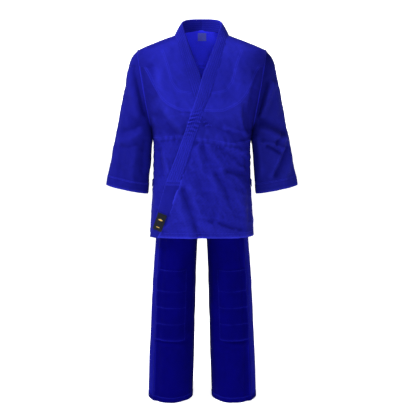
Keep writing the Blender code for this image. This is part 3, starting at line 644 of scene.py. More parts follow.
def shell(name, points, like, thickness, slot, wear_and_shading=None, lines=()):
    """A closed sheet of cloth on a grid of points, with both faces and its four edges."""
    rows, columns = points.shape[:2]
    normal = grid_normals(points, like)
    verts = np.concatenate([(points + normal * thickness / 2).reshape(-1, 3),
                            (points - normal * thickness / 2).reshape(-1, 3)])
    below = rows * columns
    turned = np.sum(np.cross(points[1, 1] - points[0, 0], points[1, 0] - points[0, 1]) * normal[0, 0]) < 0
    faces, corners = [], []
    for r in range(rows - 1):
        for c in range(columns - 1):
            a = r * columns + c
            quad = [a, a + 1, a + 1 + columns, a + columns]
            if turned:
                quad.reverse()
            faces += [tuple(quad), tuple(below + i for i in reversed(quad))]
            corners += quad + list(reversed(quad))
    rim = ([r * columns for r in range(rows - 1, 0, -1)] + list(range(columns))
           + [r * columns + columns - 1 for r in range(1, rows)]
           + [(rows - 1) * columns + c for c in range(columns - 2, -1, -1)])
    for a, b in zip(rim, rim[1:] + rim[:1]):
        if a == b:
            continue
        faces.append((b, a, below + a, below + b) if not turned else (a, b, below + b, below + a))
        corners += [b, a, a, b] if not turned else [a, b, b, a]
    flat = np.stack([arc(points, 1), arc(points, 0)], -1).reshape(-1, 2)
    worn_and_lit = np.zeros((rows, columns)) if wear_and_shading is None else wear_and_shading
    return mesh_piece(name, verts, faces, flat[np.array(corners)], np.tile(worn_and_lit.ravel(), 2), slot, lines)


def declare(points):
    """Works out the flat size that a sheet's own grid of threads has, and its area, but keeps neither."""
    across, along = arc(points, 1)[:, -1], arc(points, 0)[-1]
    size = (round(float(across.max()), 3), round(float(along.max()), 3))
    sides = np.cross(points[1:, 1:] - points[:-1, :-1], points[1:, :-1] - points[:-1, 1:])
    area = float(np.linalg.norm(sides, axis=-1).sum() / 2)
    area = int(min(area, size[0] * size[1]) * 1e5) / 1e5


def section_grid(form, levels, low_u, high_u, spacing=SPACING):
    """Grid of (u, v) over a form whose rows run evenly from low_u(v) to high_u(v)."""
    columns = 2
    dense = np.linspace(0, 1, 120)
    found = []
    for v in levels:
        u = mix(float(low_u(v)), float(high_u(v)), dense)
        length = arc(form(u, np.full_like(u, v)), 0)
        columns = max(columns, int(length[-1] / spacing) + 1)
        found.append((u, length))
    rows = [np.interp(np.linspace(0, length[-1], columns), length, u) for u, length in found]
    return np.array(rows), np.repeat(np.array(levels)[:, None], columns, 1)


def torso_levels(low, high, spacing=SPACING):
    """Heights for the torso's rows, closer together on the shoulder's slope."""
    z = np.linspace(low, high, 1500)
    side = np.stack([torso_side(z), z], -1)
    return np.interp(np.linspace(0, arc(side, 0)[-1], int(arc(side, 0)[-1] / spacing) + 2), arc(side, 0), z)


def line_on(form, relief, u, v, facing, extra=0.0):
    """A line of stitches laid on a form."""
    return laid(form, relief, np.asarray(u, float), np.asarray(v, float), facing, extra)


def level_rows(form, relief, row, heights, facing, lift):
    """Rows of stitches that run across a piece at given heights, over the places of one grid row."""
    return [line_on(form, relief, row, np.full_like(row, z), facing, lift) for z in heights]


# ------------------------------------------------------------------ materials


def add(tree, kind, **values):
    node = tree.nodes.new(kind)
    for key, value in values.items():
        if hasattr(node, key):
            setattr(node, key, value)
        else:
            node.inputs[key.replace("_", " ")].default_value = value
    return node


def woven(name, colour, worn_and_lit, pattern, depth, roughness=0.9, contrast=0.26, shine=0.05):
    """Woven cotton: a thread pattern in the cloth's own metres, uneven dye, and a lighter colour mixed in
    by a value per point, for worn seams and for painted light and shade.
    """
    made = bpy.data.materials.new(name)
    made.use_nodes = True
    tree = made.node_tree
    link = tree.links.new
    shader = tree.nodes["Principled BSDF"]
    for socket, value in (("Roughness", roughness), ("Specular IOR Level", shine), ("Sheen Weight", shine),
                          ("Sheen Roughness", 0.5), ("Sheen Tint", (*colour, 1))):
        shader.inputs[socket].default_value = value

    def noise(place, **settings):
        node = add(tree, "ShaderNodeTexNoise", **settings)
        link(place, node.inputs["Vector"])
        return node.outputs["Fac"]

    def ranged(value, **limits):
        node = add(tree, "ShaderNodeMapRange", **limits)
        link(value, node.inputs["Value"])
        return node.outputs["Result"]

    def product(first, second):
        node = add(tree, "ShaderNodeMath", operation="MULTIPLY")
        link(first, node.inputs[0])
        link(second, node.inputs[1])
        return node.outputs[0]
    cloth = add(tree, "ShaderNodeUVMap", uv_map="cloth").outputs["UV"]
    room = add(tree, "ShaderNodeTexCoord").outputs["Object"]
    threads = pattern(tree, cloth)
    middling = {"From_Min": 0.3, "From_Max": 0.7}
    dye = ranged(noise(room, Scale=16.0, Detail=4.0, Roughness=0.6), To_Min=0.90, To_Max=1.10, **middling)
    grain = ranged(threads, To_Min=1.08 - contrast, To_Max=1.08)
    fleck = ranged(noise(cloth, Scale=900.0, Detail=2.0), To_Min=0.94, To_Max=1.06, **middling)
    # The value mixes in the lighter colour: wear and painted light where it is high, painted shade where it
    # is low.
    wear_and_shading = add(tree, "ShaderNodeAttribute", attribute_name="wear_and_shading")
    base = add(tree, "ShaderNodeMix", data_type="RGBA")
    base.inputs[6].default_value = (*colour, 1)
    base.inputs[7].default_value = (*worn_and_lit, 1)
    link(wear_and_shading.outputs["Fac"], base.inputs[0])
    tinted = add(tree, "ShaderNodeVectorMath", operation="SCALE")
    link(base.outputs[2], tinted.inputs[0])
    link(product(product(dye, grain), fleck), tinted.inputs["Scale"])
    link(tinted.outputs[0], shader.inputs["Base Color"])
    bump = add(tree, "ShaderNodeBump", Strength=0.6, Distance=depth)
    link(threads, bump.inputs["Height"])
    link(bump.outputs["Normal"], shader.inputs["Normal"])
    return made


def rice_grain(tree, place):
    """Rows of small raised knots, each row half a knot along from the last."""
    node = add(tree, "ShaderNodeTexBrick", Scale=1.0, Mortar_Size=0.0006, Mortar_Smooth=1.0,
               Brick_Width=0.0052, Row_Height=0.0026, Color1=(1, 1, 1, 1), Color2=(0.82, 0.82, 0.82, 1),
               Mortar=(0.1, 0.1, 0.1, 1))
    tree.links.new(place, node.inputs["Vector"])
    return node.outputs["Color"]


def diagonal(tree, place, turn, size):
    turned = add(tree, "ShaderNodeMapping")
    turned.inputs["Rotation"].default_value = (0, 0, turn)
    tree.links.new(place, turned.inputs["Vector"])
    node = add(tree, "ShaderNodeTexWave", Scale=2 * pi / size / 20.0, Distortion=0.0, Detail=0.0)
    tree.links.new(turned.outputs["Vector"], node.inputs["Vector"])
    return node.outputs["Fac"]


def diamond(tree, place):
    """Crossed diagonal ribs, which make small diamonds."""
    node = add(tree, "ShaderNodeMath", operation="MAXIMUM")
    tree.links.new(diagonal(tree, place, radians(35), 0.012), node.inputs[0])
    tree.links.new(diagonal(tree, place, radians(-35), 0.012), node.inputs[1])
    return node.outputs[0]


def drill(tree, place):
    """The fine diagonal rib of cotton drill."""
    return diagonal(tree, place, radians(58), 0.0011)


def satin(tree, place):
    return diagonal(tree, place, radians(90), 0.0005)


RICE = (rice_grain, 0.0006)
DRILL = (drill, 0.0003)
# Each look: its linear colour where it is new and the lighter one that wear and painted light mix in, its
# weave and the weave's depth, and then its roughness, the weave's contrast and its shine where they aren't
# the usual ones.
LOOKS = {
    "jacket": ((0.0052, 0.0056, 0.222), (0.018, 0.021, 0.42), *RICE),
    # The front body, the chest yokes and the skirts take darker copies of the jacket's blue: painted shade,
    # which painted light lifts again in the middle of the fronts and on the folds' ridges.
    "body": ((0.0028, 0.0030, 0.112), (0.018, 0.021, 0.42), *RICE),
    "yoke": ((0.0034, 0.0037, 0.140), (0.018, 0.021, 0.42), *RICE),
    # The sleeves take darker copies of the jacket's blue, and the wearer's left one, which faces away from
    # the key light, the darkest: painted shade.
    "left_sleeve": ((0.0022, 0.0026, 0.092), (0.015, 0.018, 0.34), *RICE),
    "right_sleeve": ((0.0034, 0.0038, 0.132), (0.017, 0.020, 0.40), *RICE),
    "skirt": ((0.0030, 0.0032, 0.122), (0.017, 0.020, 0.38), diamond, 0.0004, 0.9, 0.14),
    # The lapels and the collar are one cloth: the lapels' darker copy is painted shade, the collar's
    # lighter one painted light on the top of the band.
    "lapel": ((0.0034, 0.0038, 0.138), (0.017, 0.020, 0.40), *DRILL),
    "trousers": ((0.0006, 0.0002, 0.085), (0.0055, 0.0060, 0.22), *DRILL, 0.9, 0.26, 0.015),
    "patch": ((0.0005, 0.0002, 0.081), (0.0055, 0.0060, 0.22), *DRILL, 0.9, 0.26, 0.015),
    "collar": ((0.0056, 0.0062, 0.225), (0.018, 0.021, 0.44), *DRILL),
    # The doubled cloth inside the neck takes a far brighter copy of the jacket's blue: painted light inside
    # the neck opening.
    "painted_lit_facing": ((0.028, 0.031, 1.0), (0.030, 0.033, 1.0), drill, 0.0002),
    "core": ((0.62, 0.60, 0.54), (0.7, 0.68, 0.62), *DRILL),
    "black_label": ((0.0060, 0.0070, 0.0120), (0.05, 0.05, 0.06), satin, 0.0002, 0.55),
    "thread": ((0.085, 0.095, 0.60), (0.09, 0.10, 0.62), drill, 0.0002),
    "stitching": ((0.017, 0.019, 0.44), (0.02, 0.02, 0.42), satin, 0.0001, 0.7),
    "dark_stitching": ((0.0045, 0.0050, 0.215), (0.02, 0.02, 0.25), satin, 0.0001, 0.7),
    "gold": ((0.42, 0.27, 0.06), (0.5, 0.35, 0.1), satin, 0.0001, 0.45),
}
MATERIALS = {name: woven(name, *look) for name, look in LOOKS.items()}

# --------------------------------------------------------------- jacket's body


def flap_blend(piece):
    """Bakes a piece of the outer front into its mesh where it stands, without bending it along the fold
    line.
    """
    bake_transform(piece)


def edge_wear(u, columns=True, rows=True, width=0.010):
    """Wear along the edges of a grid laid evenly over a piece."""
    height, breadth = u.shape
    c = np.minimum(np.arange(breadth), np.arange(breadth)[::-1]) * SPACING
    r = np.minimum(np.arange(height), np.arange(height)[::-1]) * SPACING
    total = np.zeros(u.shape)
    if columns:
        total = np.maximum(total, bell(c, width)[None, :])
    if rows:
        total = np.maximum(total, bell(r, width)[:, None])
    return 0.55 * total


def front_relief(side):
    return lambda points: torso_relief(points, side)


def lapel_edge(z):
    return angle_at(profile(LAPEL_OUTER, z) - 0.004, z)


HEM_RISE = 0.0065         # the hem is a little higher in the middle than at the vents


def hem_rise(angle, z):
    """How far the skirt's cloth is lifted towards the middle of the front."""
    return HEM_RISE * np.cos(np.clip(angle, -pi / 2, pi / 2)) ** 2 * smooth((HEM_Z + 0.10 - z) / 0.10)


def drooped(form):
    """A front form whose waist seam is tilted to the line that it has when worn."""
    def moved(angle, z):
        x = form(angle, z)[..., 0]
        droop = (waist_line(x) - WAIST_Z) * bell(z - WAIST_Z, 0.075)
        return form(angle, z + droop + hem_rise(angle, z))
    return moved


SKIRT_LEVELS = np.linspace(HEM_Z, WAIST_Z + 0.004, int((WAIST_Z - HEM_Z) / SPACING))


def hem_fold(z):
    """How far the turned-up hem of the skirt stands out."""
    return 0.0010 * smooth((HEM_Z + HEM_DEPTH - z) / 0.003)


def hem_rows(form, relief, row, facing):
    return level_rows(form, relief, row, [HEM_Z + dz for dz in HEM_ROWS], facing, SKIRT_CLOTH / 2 + 0.0008)


def seam_rows(form, relief, u_of, facing, offsets):
    """Rows of stitches beside a vent's edge, at distances in radians of its form."""
    levels = SKIRT_LEVELS[SKIRT_LEVELS < VENT_Z]
    rows = []
    for offset in offsets:
        u = np.array([float(u_of(z)) + offset for z in levels])
        rows.append(line_on(form, relief, u, levels, facing, JACKET_CLOTH / 2))
    return rows


def painted_shading(points, middle_light, height, painted_shade):
    """Painted light and shade: lighter in the middle of a front and darker towards its sides and armholes,
    lighter on its folds' ridges and darker in their valleys, with a painted crinkle pattern.
    """
    x, z = points[..., 0], points[..., 2]
    crinkle_shade = creases(x, z, 0.026, 1.0, 36) - 0.5
    inside = torso_side(z) - np.abs(x)
    return middle_light * smooth((inside - 0.004) / 0.060) + painted_shade * (height + 0.0026 * crinkle_shade)


def make_front(side, name):
    """One front: its body from the waist seam to the shoulder, the chest yoke over it, and its skirt."""
    relief = front_relief(side)
    finish = flap_blend if side > 0 else (lambda piece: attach(piece, "jacket"))
    facing = side

    form = drooped(front(side))
    levels = torso_levels(WAIST_Z - 0.005, NECK_Z - 0.001)
    u, v = section_grid(form, levels, lapel_edge, side_angle)
    points, like = laid(form, relief, u, v, facing, 0.0007 * bell(v - WAIST_Z, 0.006))
    lines = level_rows(form, relief, u[1], [WAIST_Z + dz for dz in WAIST_ROWS], facing, JACKET_CLOTH / 2)
    at_seam = 0.13 * bell(v - WAIST_Z - 0.003, 0.005) * (1 + 0.5 * ripple(u, v, 0.05, 1, 4))
    body_wear_and_shade = np.maximum(edge_wear(u, True, False) * 0.2, at_seam)
    # Painted light and shade over the wear at the seam and edges: lighter in the middle of the front and on
    # the folds' ridges, darker towards the sides and in the folds' valleys.
    body_wear_and_shade = np.clip(body_wear_and_shade + painted_shading(points, 0.20, relief(form(u, v)), 14), 0, 1)
    body = shell(f"{name}_front_body", points, like, JACKET_CLOTH, "body", body_wear_and_shade, lines)
    nodes = [f"{name}_front_panel"] + (["left_front_overlap"] if side > 0 else [])
    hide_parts(*nodes)
    declare(form(u, v))
    finish(body)

    over = front(side, OVERLAY)

    def yoke_high(z):
        if z >= YOKE_CORNER_Z:
            return side_angle(z)
        return min(side_angle(z), angle_at(profile(YOKE_EDGE, z), z))
    levels = torso_levels(YOKE_FRONT_Z, NECK_Z - 0.002, SPACING * 0.9)
    u, v = section_grid(over, levels, lapel_edge, yoke_high)
    points, like = laid(over, relief, u, v, facing)
    arch_z = np.linspace(YOKE_FRONT_Z + 0.001, YOKE_CORNER_Z - 0.004, 160)
    arch_u = np.array([float(yoke_high(z)) for z in arch_z])
    outline = over(arch_u, arch_z)
    flat_part = np.linspace(float(lapel_edge(YOKE_FRONT_Z)), float(arch_u[0]), 40)
    outline = np.concatenate([over(flat_part, np.full(40, YOKE_FRONT_Z)), outline])
    inward = []
    for offset in YOKE_ROWS:
        x, z = outline[:, 0] * side, outline[:, 2]
        along = unit(np.gradient(np.stack([x, z], -1), axis=0))
        x, z = x - along[:, 1] * offset, z + along[:, 0] * offset
        inward.append(line_on(over, relief, angle_at(x, z), z, facing, JACKET_CLOTH / 2))
    place = np.linspace(0, len(INNER_ARC) - 1, 120)
    for shift in (0.0, 0.006):
        x, z = np.moveaxis(spline(INNER_ARC, place), -1, 0)
        turn = angle_at(x - shift * 0.8, z + shift * 0.6)
        inward.append(line_on(over, relief, turn, z + shift * 0.6, facing, JACKET_CLOTH / 2))
    flat = points[..., [0, 2]] * np.array([side, 1])

    def distance(line):
        return np.min(np.linalg.norm(flat[:, :, None] - line[None, None], axis=-1), -1)
    reach = distance(outline[::4, [0, 2]] * [side, 1])
    reach = np.minimum(reach, distance(spline(INNER_ARC, place[::4])) + 0.003)
    # Wear beside the yoke's seams, with painted light and shade as on the body; on the wearer's left,
    # painted light on the top of the shoulder.
    yoke_wear_and_shade = 0.10 * bell(reach - 0.006, 0.0045) + painted_shading(points, 0.20, relief(over(u, v)), 12)
    yoke_wear_and_shade = np.clip(yoke_wear_and_shade + (0.20 * smooth((v - 1.275) / 0.06) if side > 0 else 0), 0, 1)
    yoke = shell(f"{name}_chest_yoke_cloth", points, like, JACKET_CLOTH, "yoke", yoke_wear_and_shade, inward)
    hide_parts(f"{name}_chest_yoke")
    declare(over(u, v))
    finish(yoke)

    under = drooped(front(side, SKIRT_INSET))

    def side_edge(z):
        return pi / 2 - 0.030 * smooth((VENT_Z - z) / 0.06)
    u, v = section_grid(under, SKIRT_LEVELS, lapel_edge, side_edge)
    points, like = laid(under, relief, u, v, facing, hem_fold(v))
    lines = hem_rows(under, relief, u[0], facing)
    lines += seam_rows(under, relief, side_edge, facing, [-row for row in VENT_ROW_ANGLES])
    # Painted light and shade as on the body: lighter in the middle and on the folds' ridges, darker towards
    # the sides and in the valleys; the skirt's edges add wear.
    painted_shade = painted_shading(points, 0.13, relief(under(u, v)), 14)
    skirt_wear_and_shade = np.clip(edge_wear(u, True, True, 0.006) + painted_shade, 0, 1)
    skirt = shell(f"{name}_skirt", points, like, SKIRT_CLOTH, "skirt", skirt_wear_and_shade, lines)
    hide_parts(*([f"{name}_front_skirt"] + (["left_side_skirt"] if side > 0 else [])))
    declare(under(u, v))
    finish(skirt)


def back_facing_relief(points):
    """The doubled cloth inside the neck, with two small creases behind the opening."""
    x, z = points[..., 0], points[..., 2]
    total = np.minimum(torso_relief(points, 0), 0.0005)
    for height in (1.262, 1.248):
        total -= 0.0036 * bell(z - height + 3.0 * (x - 0.006) ** 2, 0.0035) * bell(x - 0.006, 0.030)
    return total - 0.0008


def make_back():
    relief = front_relief(0)

    def low_edge(z):
        return pi - side_angle(z, True)

    def high_edge(z):
        return pi + side_angle(z, True)
    form = back()
    levels = torso_levels(WAIST_Z - 0.005, NECK_Z + 0.007)
    u, v = section_grid(form, levels, low_edge, high_edge)
    facing = facing_of(form, pi, 1.1, [0, 1, 0])
    points, like = laid(form, relief, u, v, facing, 0.0007 * bell(v - WAIST_Z, 0.006))
    lines = level_rows(form, relief, u[1], [WAIST_Z + dz for dz in WAIST_ROWS], facing, JACKET_CLOTH / 2)
    seam = torso_levels(WAIST_Z, YOKE_BACK_Z)
    lines += [line_on(form, relief, np.full_like(seam, pi + offset), seam, facing, JACKET_CLOTH / 2)
              for offset in (-0.004, 0.004)]
    worn_and_lit = np.clip(0.6 * edge_wear(u, True, False) + 0.25 * bell(v - WAIST_Z - 0.003, 0.005), 0, 1)
    body = shell("back_body", points, like, JACKET_CLOTH, "jacket", worn_and_lit, lines)
    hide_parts("back_panel")
    declare(form(u, v))
    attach(body, "jacket")

    over = back(OVERLAY)
    levels = torso_levels(YOKE_BACK_Z, NECK_Z + 0.007)
    u, v = section_grid(over, levels, low_edge, high_edge)
    points, like = laid(over, relief, u, v, facing)
    lines = level_rows(over, relief, u[1], [YOKE_BACK_Z + dz for dz in YOKE_ROWS], facing, JACKET_CLOTH / 2)
    worn_and_lit = np.clip(edge_wear(u, True, False) + 0.8 * bell(v - YOKE_BACK_Z - 0.004, 0.006), 0, 1)
    yoke = shell("back_yoke_cloth", points, like, JACKET_CLOTH, "jacket", worn_and_lit, lines)
    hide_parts("back_yoke")
    declare(over(u, v))
    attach(yoke, "jacket")

    inside = back(FACING_INSET)
    levels = torso_levels(FACING_LOW_Z, NECK_Z + 0.006)
    u, v = section_grid(inside, levels, lambda z: pi - 0.72 * float(side_angle(z, True)),
                        lambda z: pi + 0.72 * float(side_angle(z, True)))
    points, like = laid(inside, back_facing_relief, u, v, facing)
    # The doubled cloth inside the neck takes a far brighter blue: painted light inside the neck opening.
    painted_lit_facing = shell("back_facing", points, like, CORE_CLOTH, "jacket", 0.2 * bell(v - FACING_LOW_Z, 0.01))
    painted_lit_facing.data.materials[0] = MATERIALS["painted_lit_facing"]
    declare(inside(u, v))
    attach(painted_lit_facing, "jacket")

    under = back(SKIRT_INSET)

    def skirt_low(z):
        return pi / 2 + 0.030 * smooth((VENT_Z - z) / 0.06)

    def skirt_high(z):
        return 2 * pi - skirt_low(z)
    u, v = section_grid(under, SKIRT_LEVELS, skirt_low, skirt_high)
    points, like = laid(under, relief, u, v, facing, hem_fold(v))
    lines = hem_rows(under, relief, u[0], facing)
    for edge, sign in ((skirt_low, 1), (skirt_high, -1)):
        lines += seam_rows(under, relief, edge, facing, [sign * row for row in VENT_ROW_ANGLES])
    skirt = shell("back_skirt_cloth", points, like, SKIRT_CLOTH, "skirt",
                  0.13 + edge_wear(u, True, True, 0.006), lines)
    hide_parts("back_waist_skirt", "back_skirt")
    declare(under(u, v))
    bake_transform(skirt)


# ---------------------------------------------------------------- lapel band


def band_edges(side):
    """Outer and inner edges of one half of the band, from the middle of the back to the hem."""
    levels = np.array(LAPEL_LEVELS)
    edges = []
    for station, table in ((COLLAR_BASE, LAPEL_OUTER), (COLLAR_TOP, LAPEL_INNER)):
        x = profile(table, levels)
        own = front(side)(angle_at(x, levels), levels)
        neck = np.array(station) * [side, 1, 1]
        edges.append(np.concatenate([neck, own]))
    return edges


GATHER_Z = 1.058          # middle of the gathered stretch of the lapels
GATHER_REACH = 0.042
GATHER_PITCH = 0.0145
GATHER_HEIGHT = 0.0040


def gathers(across, z):
    """Ribs across the lapels above the waist, where the belt has drawn them together."""
    strength = bell(z - GATHER_Z, GATHER_REACH) * (0.62 + 0.38 * np.sin(7 * across + 90 * z))
    return np.sin(2 * pi * z / GATHER_PITCH + 1.6 * np.sin(5 * across + 20 * z)) * strength


def band_points(side, place, across):
    """Middle of the band at places along it and shares across it, with its outward normal."""
    outer_points, inner_points = band_edges(side)

    def at(where):
        return spline(outer_points, where), spline(inner_points, where)
    outer, inner = at(place)
    ahead_out, ahead_in = at(place + 0.02)
    behind_out, behind_in = at(place - 0.02)
    share = across[..., None]
    along = mix(ahead_out - behind_out, ahead_in - behind_in, share)
    normal = unit(np.cross(along, inner - outer)) * -side
    middle = mix(outer, inner, share)
    on_chest = smooth((place - 4.5) / 1.5)
    bulge = mix(0.0016, 0.0022, on_chest) * 4 * across * (1 - across)
    z = middle[..., 2]
    waves = GATHER_HEIGHT * on_chest * gathers(across, z)
    waves += ripple(z, across * 0.06, 0.045, 0.0006, 47 + side) * on_chest
    return middle + normal * (bulge + waves)[..., None], normal


def rows_shown(z):
    """How plainly the band's rows of stitches show at a height."""
    ends = smooth((z - LAPEL_ROWS_END_Z) / 0.006 + 0.5)
    return ends * mix(0.25, 1.0, smooth((LAPEL_ROWS_TOP_Z - z) / 0.05 + 0.5))


def band_half(across, z):
    """Half thickness of the band: rounded at its edges, with a channel under each row of stitches."""
    body = LAPEL_HALF * np.clip(1 - np.abs(2 * across - 1) ** 10, 0, 1) ** 0.5
    rows = sum(bell(across - row, 0.034) for row in LAPEL_ROWS) * rows_shown(z)
    rows = rows + sum(bell(z - row, 0.0022) for row in LAPEL_CROSS_ROWS)
    plain = 0.16 * smooth((LAPEL_CROSS_ROWS[1] - z) / 0.01)
    return body * (1 - plain - 0.34 * np.clip(rows, 0, 1))


BAND_ACROSS = 46


def make_band(name, side_of, places, node, core_node, finish):
    """One stretch of the band and the stiffening strip inside it."""
    face = (1 - np.cos(np.linspace(0, pi, BAND_ACROSS))) / 2
    face = mix(np.linspace(0, 1, BAND_ACROSS), face, 0.5)
    loop = np.concatenate([face, face[-2:0:-1]])
    sign = np.concatenate([np.ones(BAND_ACROSS), -np.ones(BAND_ACROSS - 2)])
    sign[[0, BAND_ACROSS - 1]] = 0
    across, grid_place = np.meshgrid(loop, places)
    middle, normal = side_of(grid_place, across)
    points = middle + normal * (sign * band_half(across, middle[..., 2]))[..., None]
    rows, columns = across.shape
    faces, corners = [], []
    turned = np.sum(np.cross(points[1, 1] - points[0, 0], points[1, 0] - points[0, 1]) * normal[0, 0]) < 0
    for r in range(rows - 1):
        for c in range(columns):
            n = (c + 1) % columns
            quad = [r * columns + c, r * columns + n, (r + 1) * columns + n, (r + 1) * columns + c]
            where = [(r, c), (r, c + 1), (r + 1, c + 1), (r + 1, c)]
            if turned:
                quad.reverse()
                where.reverse()
            faces.append(tuple(quad))
            corners += where
    first, last = tuple(range(columns)), tuple((rows - 1) * columns + c for c in range(columns))
    caps = [(0, c) for c in range(columns)], [(rows - 1, c) for c in range(columns)]
    faces += [first if turned else first[::-1], last[::-1] if turned else last]
    corners += (caps[0] if turned else caps[0][::-1]) + (caps[1][::-1] if turned else caps[1])
    around = np.concatenate([arc(points, 1), arc(points, 1)[:, -1:] + 0.001], 1)
    along = np.concatenate([arc(points, 0), arc(points, 0)[:, :1]], 1)
    flat = np.array([(around[r, c], along[r, c]) for r, c in corners])
    lines = []
    for way in (1, -1):
        for row in LAPEL_ROWS:
            centre, out = side_of(places, np.full(len(places), row))
            shown = centre[:, 2] > LAPEL_ROWS_END_Z
            centre, out = centre[shown], out[shown]
            lines.append((centre + out * (way * band_half(row, centre[:, 2]))[:, None], out * way))
        if points[..., 2].min() < LAPEL_ROWS_END_Z:
            share = np.linspace(0.04, 0.96, 40)
            for row in LAPEL_CROSS_ROWS:
                at = np.interp(-row, -middle[:, 0, 2], places)
                centre, out = side_of(np.full(40, at), share)
                lines.append((centre + out * (way * band_half(share, centre[:, 2]))[:, None], out * way))
    z = points[..., 2]
    # Painted light and shade on the band: lighter beside each row of stitches and above the crossed rows,
    # so that the channels under the rows stay darker, and lighter on the gathers' ribs and darker between
    # them; the lighter inner edge is wear.
    beside_rows = sum(bell(across - row - 0.06, 0.036) for row in LAPEL_ROWS)
    wear_and_shading = 0.50 * rows_shown(z) * np.clip(beside_rows, 0, 1)
    wear_and_shading = np.maximum(wear_and_shading, 0.3 * sum(bell(z - row - 0.004, 0.0025) for row in LAPEL_CROSS_ROWS))
    wear_and_shading = np.maximum(wear_and_shading, 0.6 * bell(1 - across, 0.03)) + 0.06 + 0.22 * gathers(across, z)
    # The collar takes the lighter copy of the band's cloth: painted light.
    piece = mesh_piece(name, points.reshape(-1, 3), faces, flat, np.clip(wear_and_shading, 0, 1).ravel(),
                       "collar" if name == "collar_band" else "lapel", lines)
    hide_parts(*node)
    length = float(np.mean(arc(middle, 0)[-1]))
    finish(piece)

    core_across, core_place = np.meshgrid(np.linspace(0.14, 0.86, 14), places[1:-1])
    middle, normal = side_of(core_place, core_across)
    core = shell(f"{name}_core_strip", middle, normal, CORE_CLOTH, "core")
    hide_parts(*core_node)
    declare(middle)
    finish(core)


def make_collar_and_lapels():
    ends = len(COLLAR_BASE) + len(LAPEL_LEVELS) - 1

    def collar_side(place, across):
        """The collar runs from station -3 on the wearer's right to 3 on the left."""
        points, normal = band_points(1, np.abs(place), across)
        flip = np.where(place < 0, -1.0, 1.0)[..., None] * [1, 0, 0] + [0, 1, 1]
        return points * flip, normal * flip

    edge = band_edges(1)[0]
    dense = spline(edge, np.linspace(0, ends, 900))
    along = arc(dense, 0)
    place_of = np.linspace(0, ends, 900)

    def even_places(first, last):
        a, b = np.interp([first, last], place_of, along)
        count = max(8, int((b - a) / (SPACING * 0.8)))
        return np.interp(np.linspace(a, b, count), along, place_of)
    half = even_places(0, COLLAR_END)
    collar_places = np.concatenate([-half[:0:-1], half])
    make_band("collar_band", collar_side, collar_places, ["collar"], ["collar_core"],
              lambda piece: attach(piece, "jacket"))
    lapel_places = even_places(COLLAR_END, ends)
    make_band("left_lapel_band", lambda place, across: band_points(1, place, across), lapel_places,
              ["left_lapel_upper", "left_lapel_lower"], ["left_lapel_upper_core", "left_lapel_lower_core"],
              flap_blend)
    make_band("right_lapel_band", lambda place, across: band_points(-1, place, across), lapel_places,
              ["right_lapel"], ["right_lapel_core"],
              lambda piece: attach(piece, "jacket"))


# -------------------------------------------------------------------- sleeves


RING_POINTS = 180
SLEEVE_POINTS = 104


def make_sleeve(side, name):
    form, relief = sleeve(side), (lambda points: sleeve_relief(points, side))
    last = len(SLEEVE) - 1
    facing = facing_of(form, 0.0, 3.0, [side, 0, 0])

    def grid(start, stop, shape):
        count = int(0.50 * (stop - start) / last / SPACING) + 2
        places = np.linspace(start, stop, max(count, 6))
        turns = np.linspace(-pi, pi, SLEEVE_POINTS)
        u, v = np.meshgrid(turns, places)
        points, like = laid(shape, relief, u, v, facing)
        return u, v, points, like

    def bodies(piece):
        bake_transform(piece)

    u, v, points, like = grid(-0.06, last, form)
    tuck = smooth((0.10 - v) / 0.16)
    points = points - like * (0.0026 * tuck)[..., None]
    turns = np.linspace(-pi, pi, 160)
    places = (last - CUFF_HEM, last - CUFF_HEM - 0.06, last - 0.07)
    lines = level_rows(form, relief, turns, places, facing, JACKET_CLOTH / 2 + 0.0011)
    worn_and_lit = 0.6 * np.maximum(bell(v - last, 0.05), bell(v, 0.06))
    worn_and_lit = np.maximum(worn_and_lit, 0.35 * bell(v - (last - CUFF_HEM), 0.03))
    # Painted light: the wearer's left sleeve is lighter away from the body and darker on its inner side.
    if side > 0:
        off_body = points[..., 0] - TORSO_SIDE[-1][1] - ARMHOLE_SLOPE * (points[..., 2] - ARMPIT_Z)
        worn_and_lit = np.maximum(worn_and_lit, 0.17 * smooth((off_body - 0.012) / 0.055))
    # Painted light and shade on the sleeve's folds: lighter on their ridges, darker in their valleys.
    worn_and_lit = np.clip(worn_and_lit + 12 * relief(form(u, v)), 0, 1)
    cloth = shell(f"{name}_sleeve_cloth", points, like, JACKET_CLOTH, f"{name}_sleeve", worn_and_lit, lines)
    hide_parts(f"{name}_sleeve")
    declare(form(u, v))
    bodies(cloth)

    over = sleeve(side, 0.0008)
    u, v, points, like = grid(last - CUFF_HEM, last + 0.004, over)
    # The wearer's left cuff is lifted a further 0.16: painted light at the end of the sleeve.
    cuff = shell(f"{name}_cuff_cloth", points, like, JACKET_CLOTH * 1.3, f"{name}_sleeve",
                 0.35 * bell(v - last, 0.06) + (0.16 if side > 0 else 0))
    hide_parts(f"{name}_cuff")
    declare(over(u, v))
    bodies(cuff)

    ring = sleeve(side, 0.0016)
    turns = np.linspace(-pi, pi, RING_POINTS)
    tube = np.linspace(0, 2 * pi, 9)[:-1]
    centre, normal = laid(ring, lambda points: 0 * points[..., 0], turns, np.full_like(turns, 0.0), facing)
    along = unit(np.gradient(centre, axis=0))
    across = np.cross(normal, along)
    points = (centre[:, None] + normal[:, None] * (0.0013 * np.sin(tube))[None, :, None]
              + across[:, None] * (0.0034 * np.cos(tube))[None, :, None])
    rows, columns = points.shape[:2]
    faces = ring_faces(rows, columns)
    faces += [tuple(range(columns))[::-1], tuple((rows - 1) * columns + c for c in range(columns))]
    corners = np.array([(0.0004 * i, 0.0004 * i) for i in range(4 * (rows - 1) * columns + 2 * columns)])
    rows_of_thread = [(centre + normal * 0.0013 + across * shift, normal) for shift in (-0.0022, 0.0022)]
    seam = mesh_piece(f"{name}_armhole_seam", points.reshape(-1, 3), faces, corners,
                      np.full(rows * columns, 0.12), "jacket", rows_of_thread)
    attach(seam, "jacket")


# ------------------------------------------------------------------- trousers


def shin_blend(piece):
    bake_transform(piece)


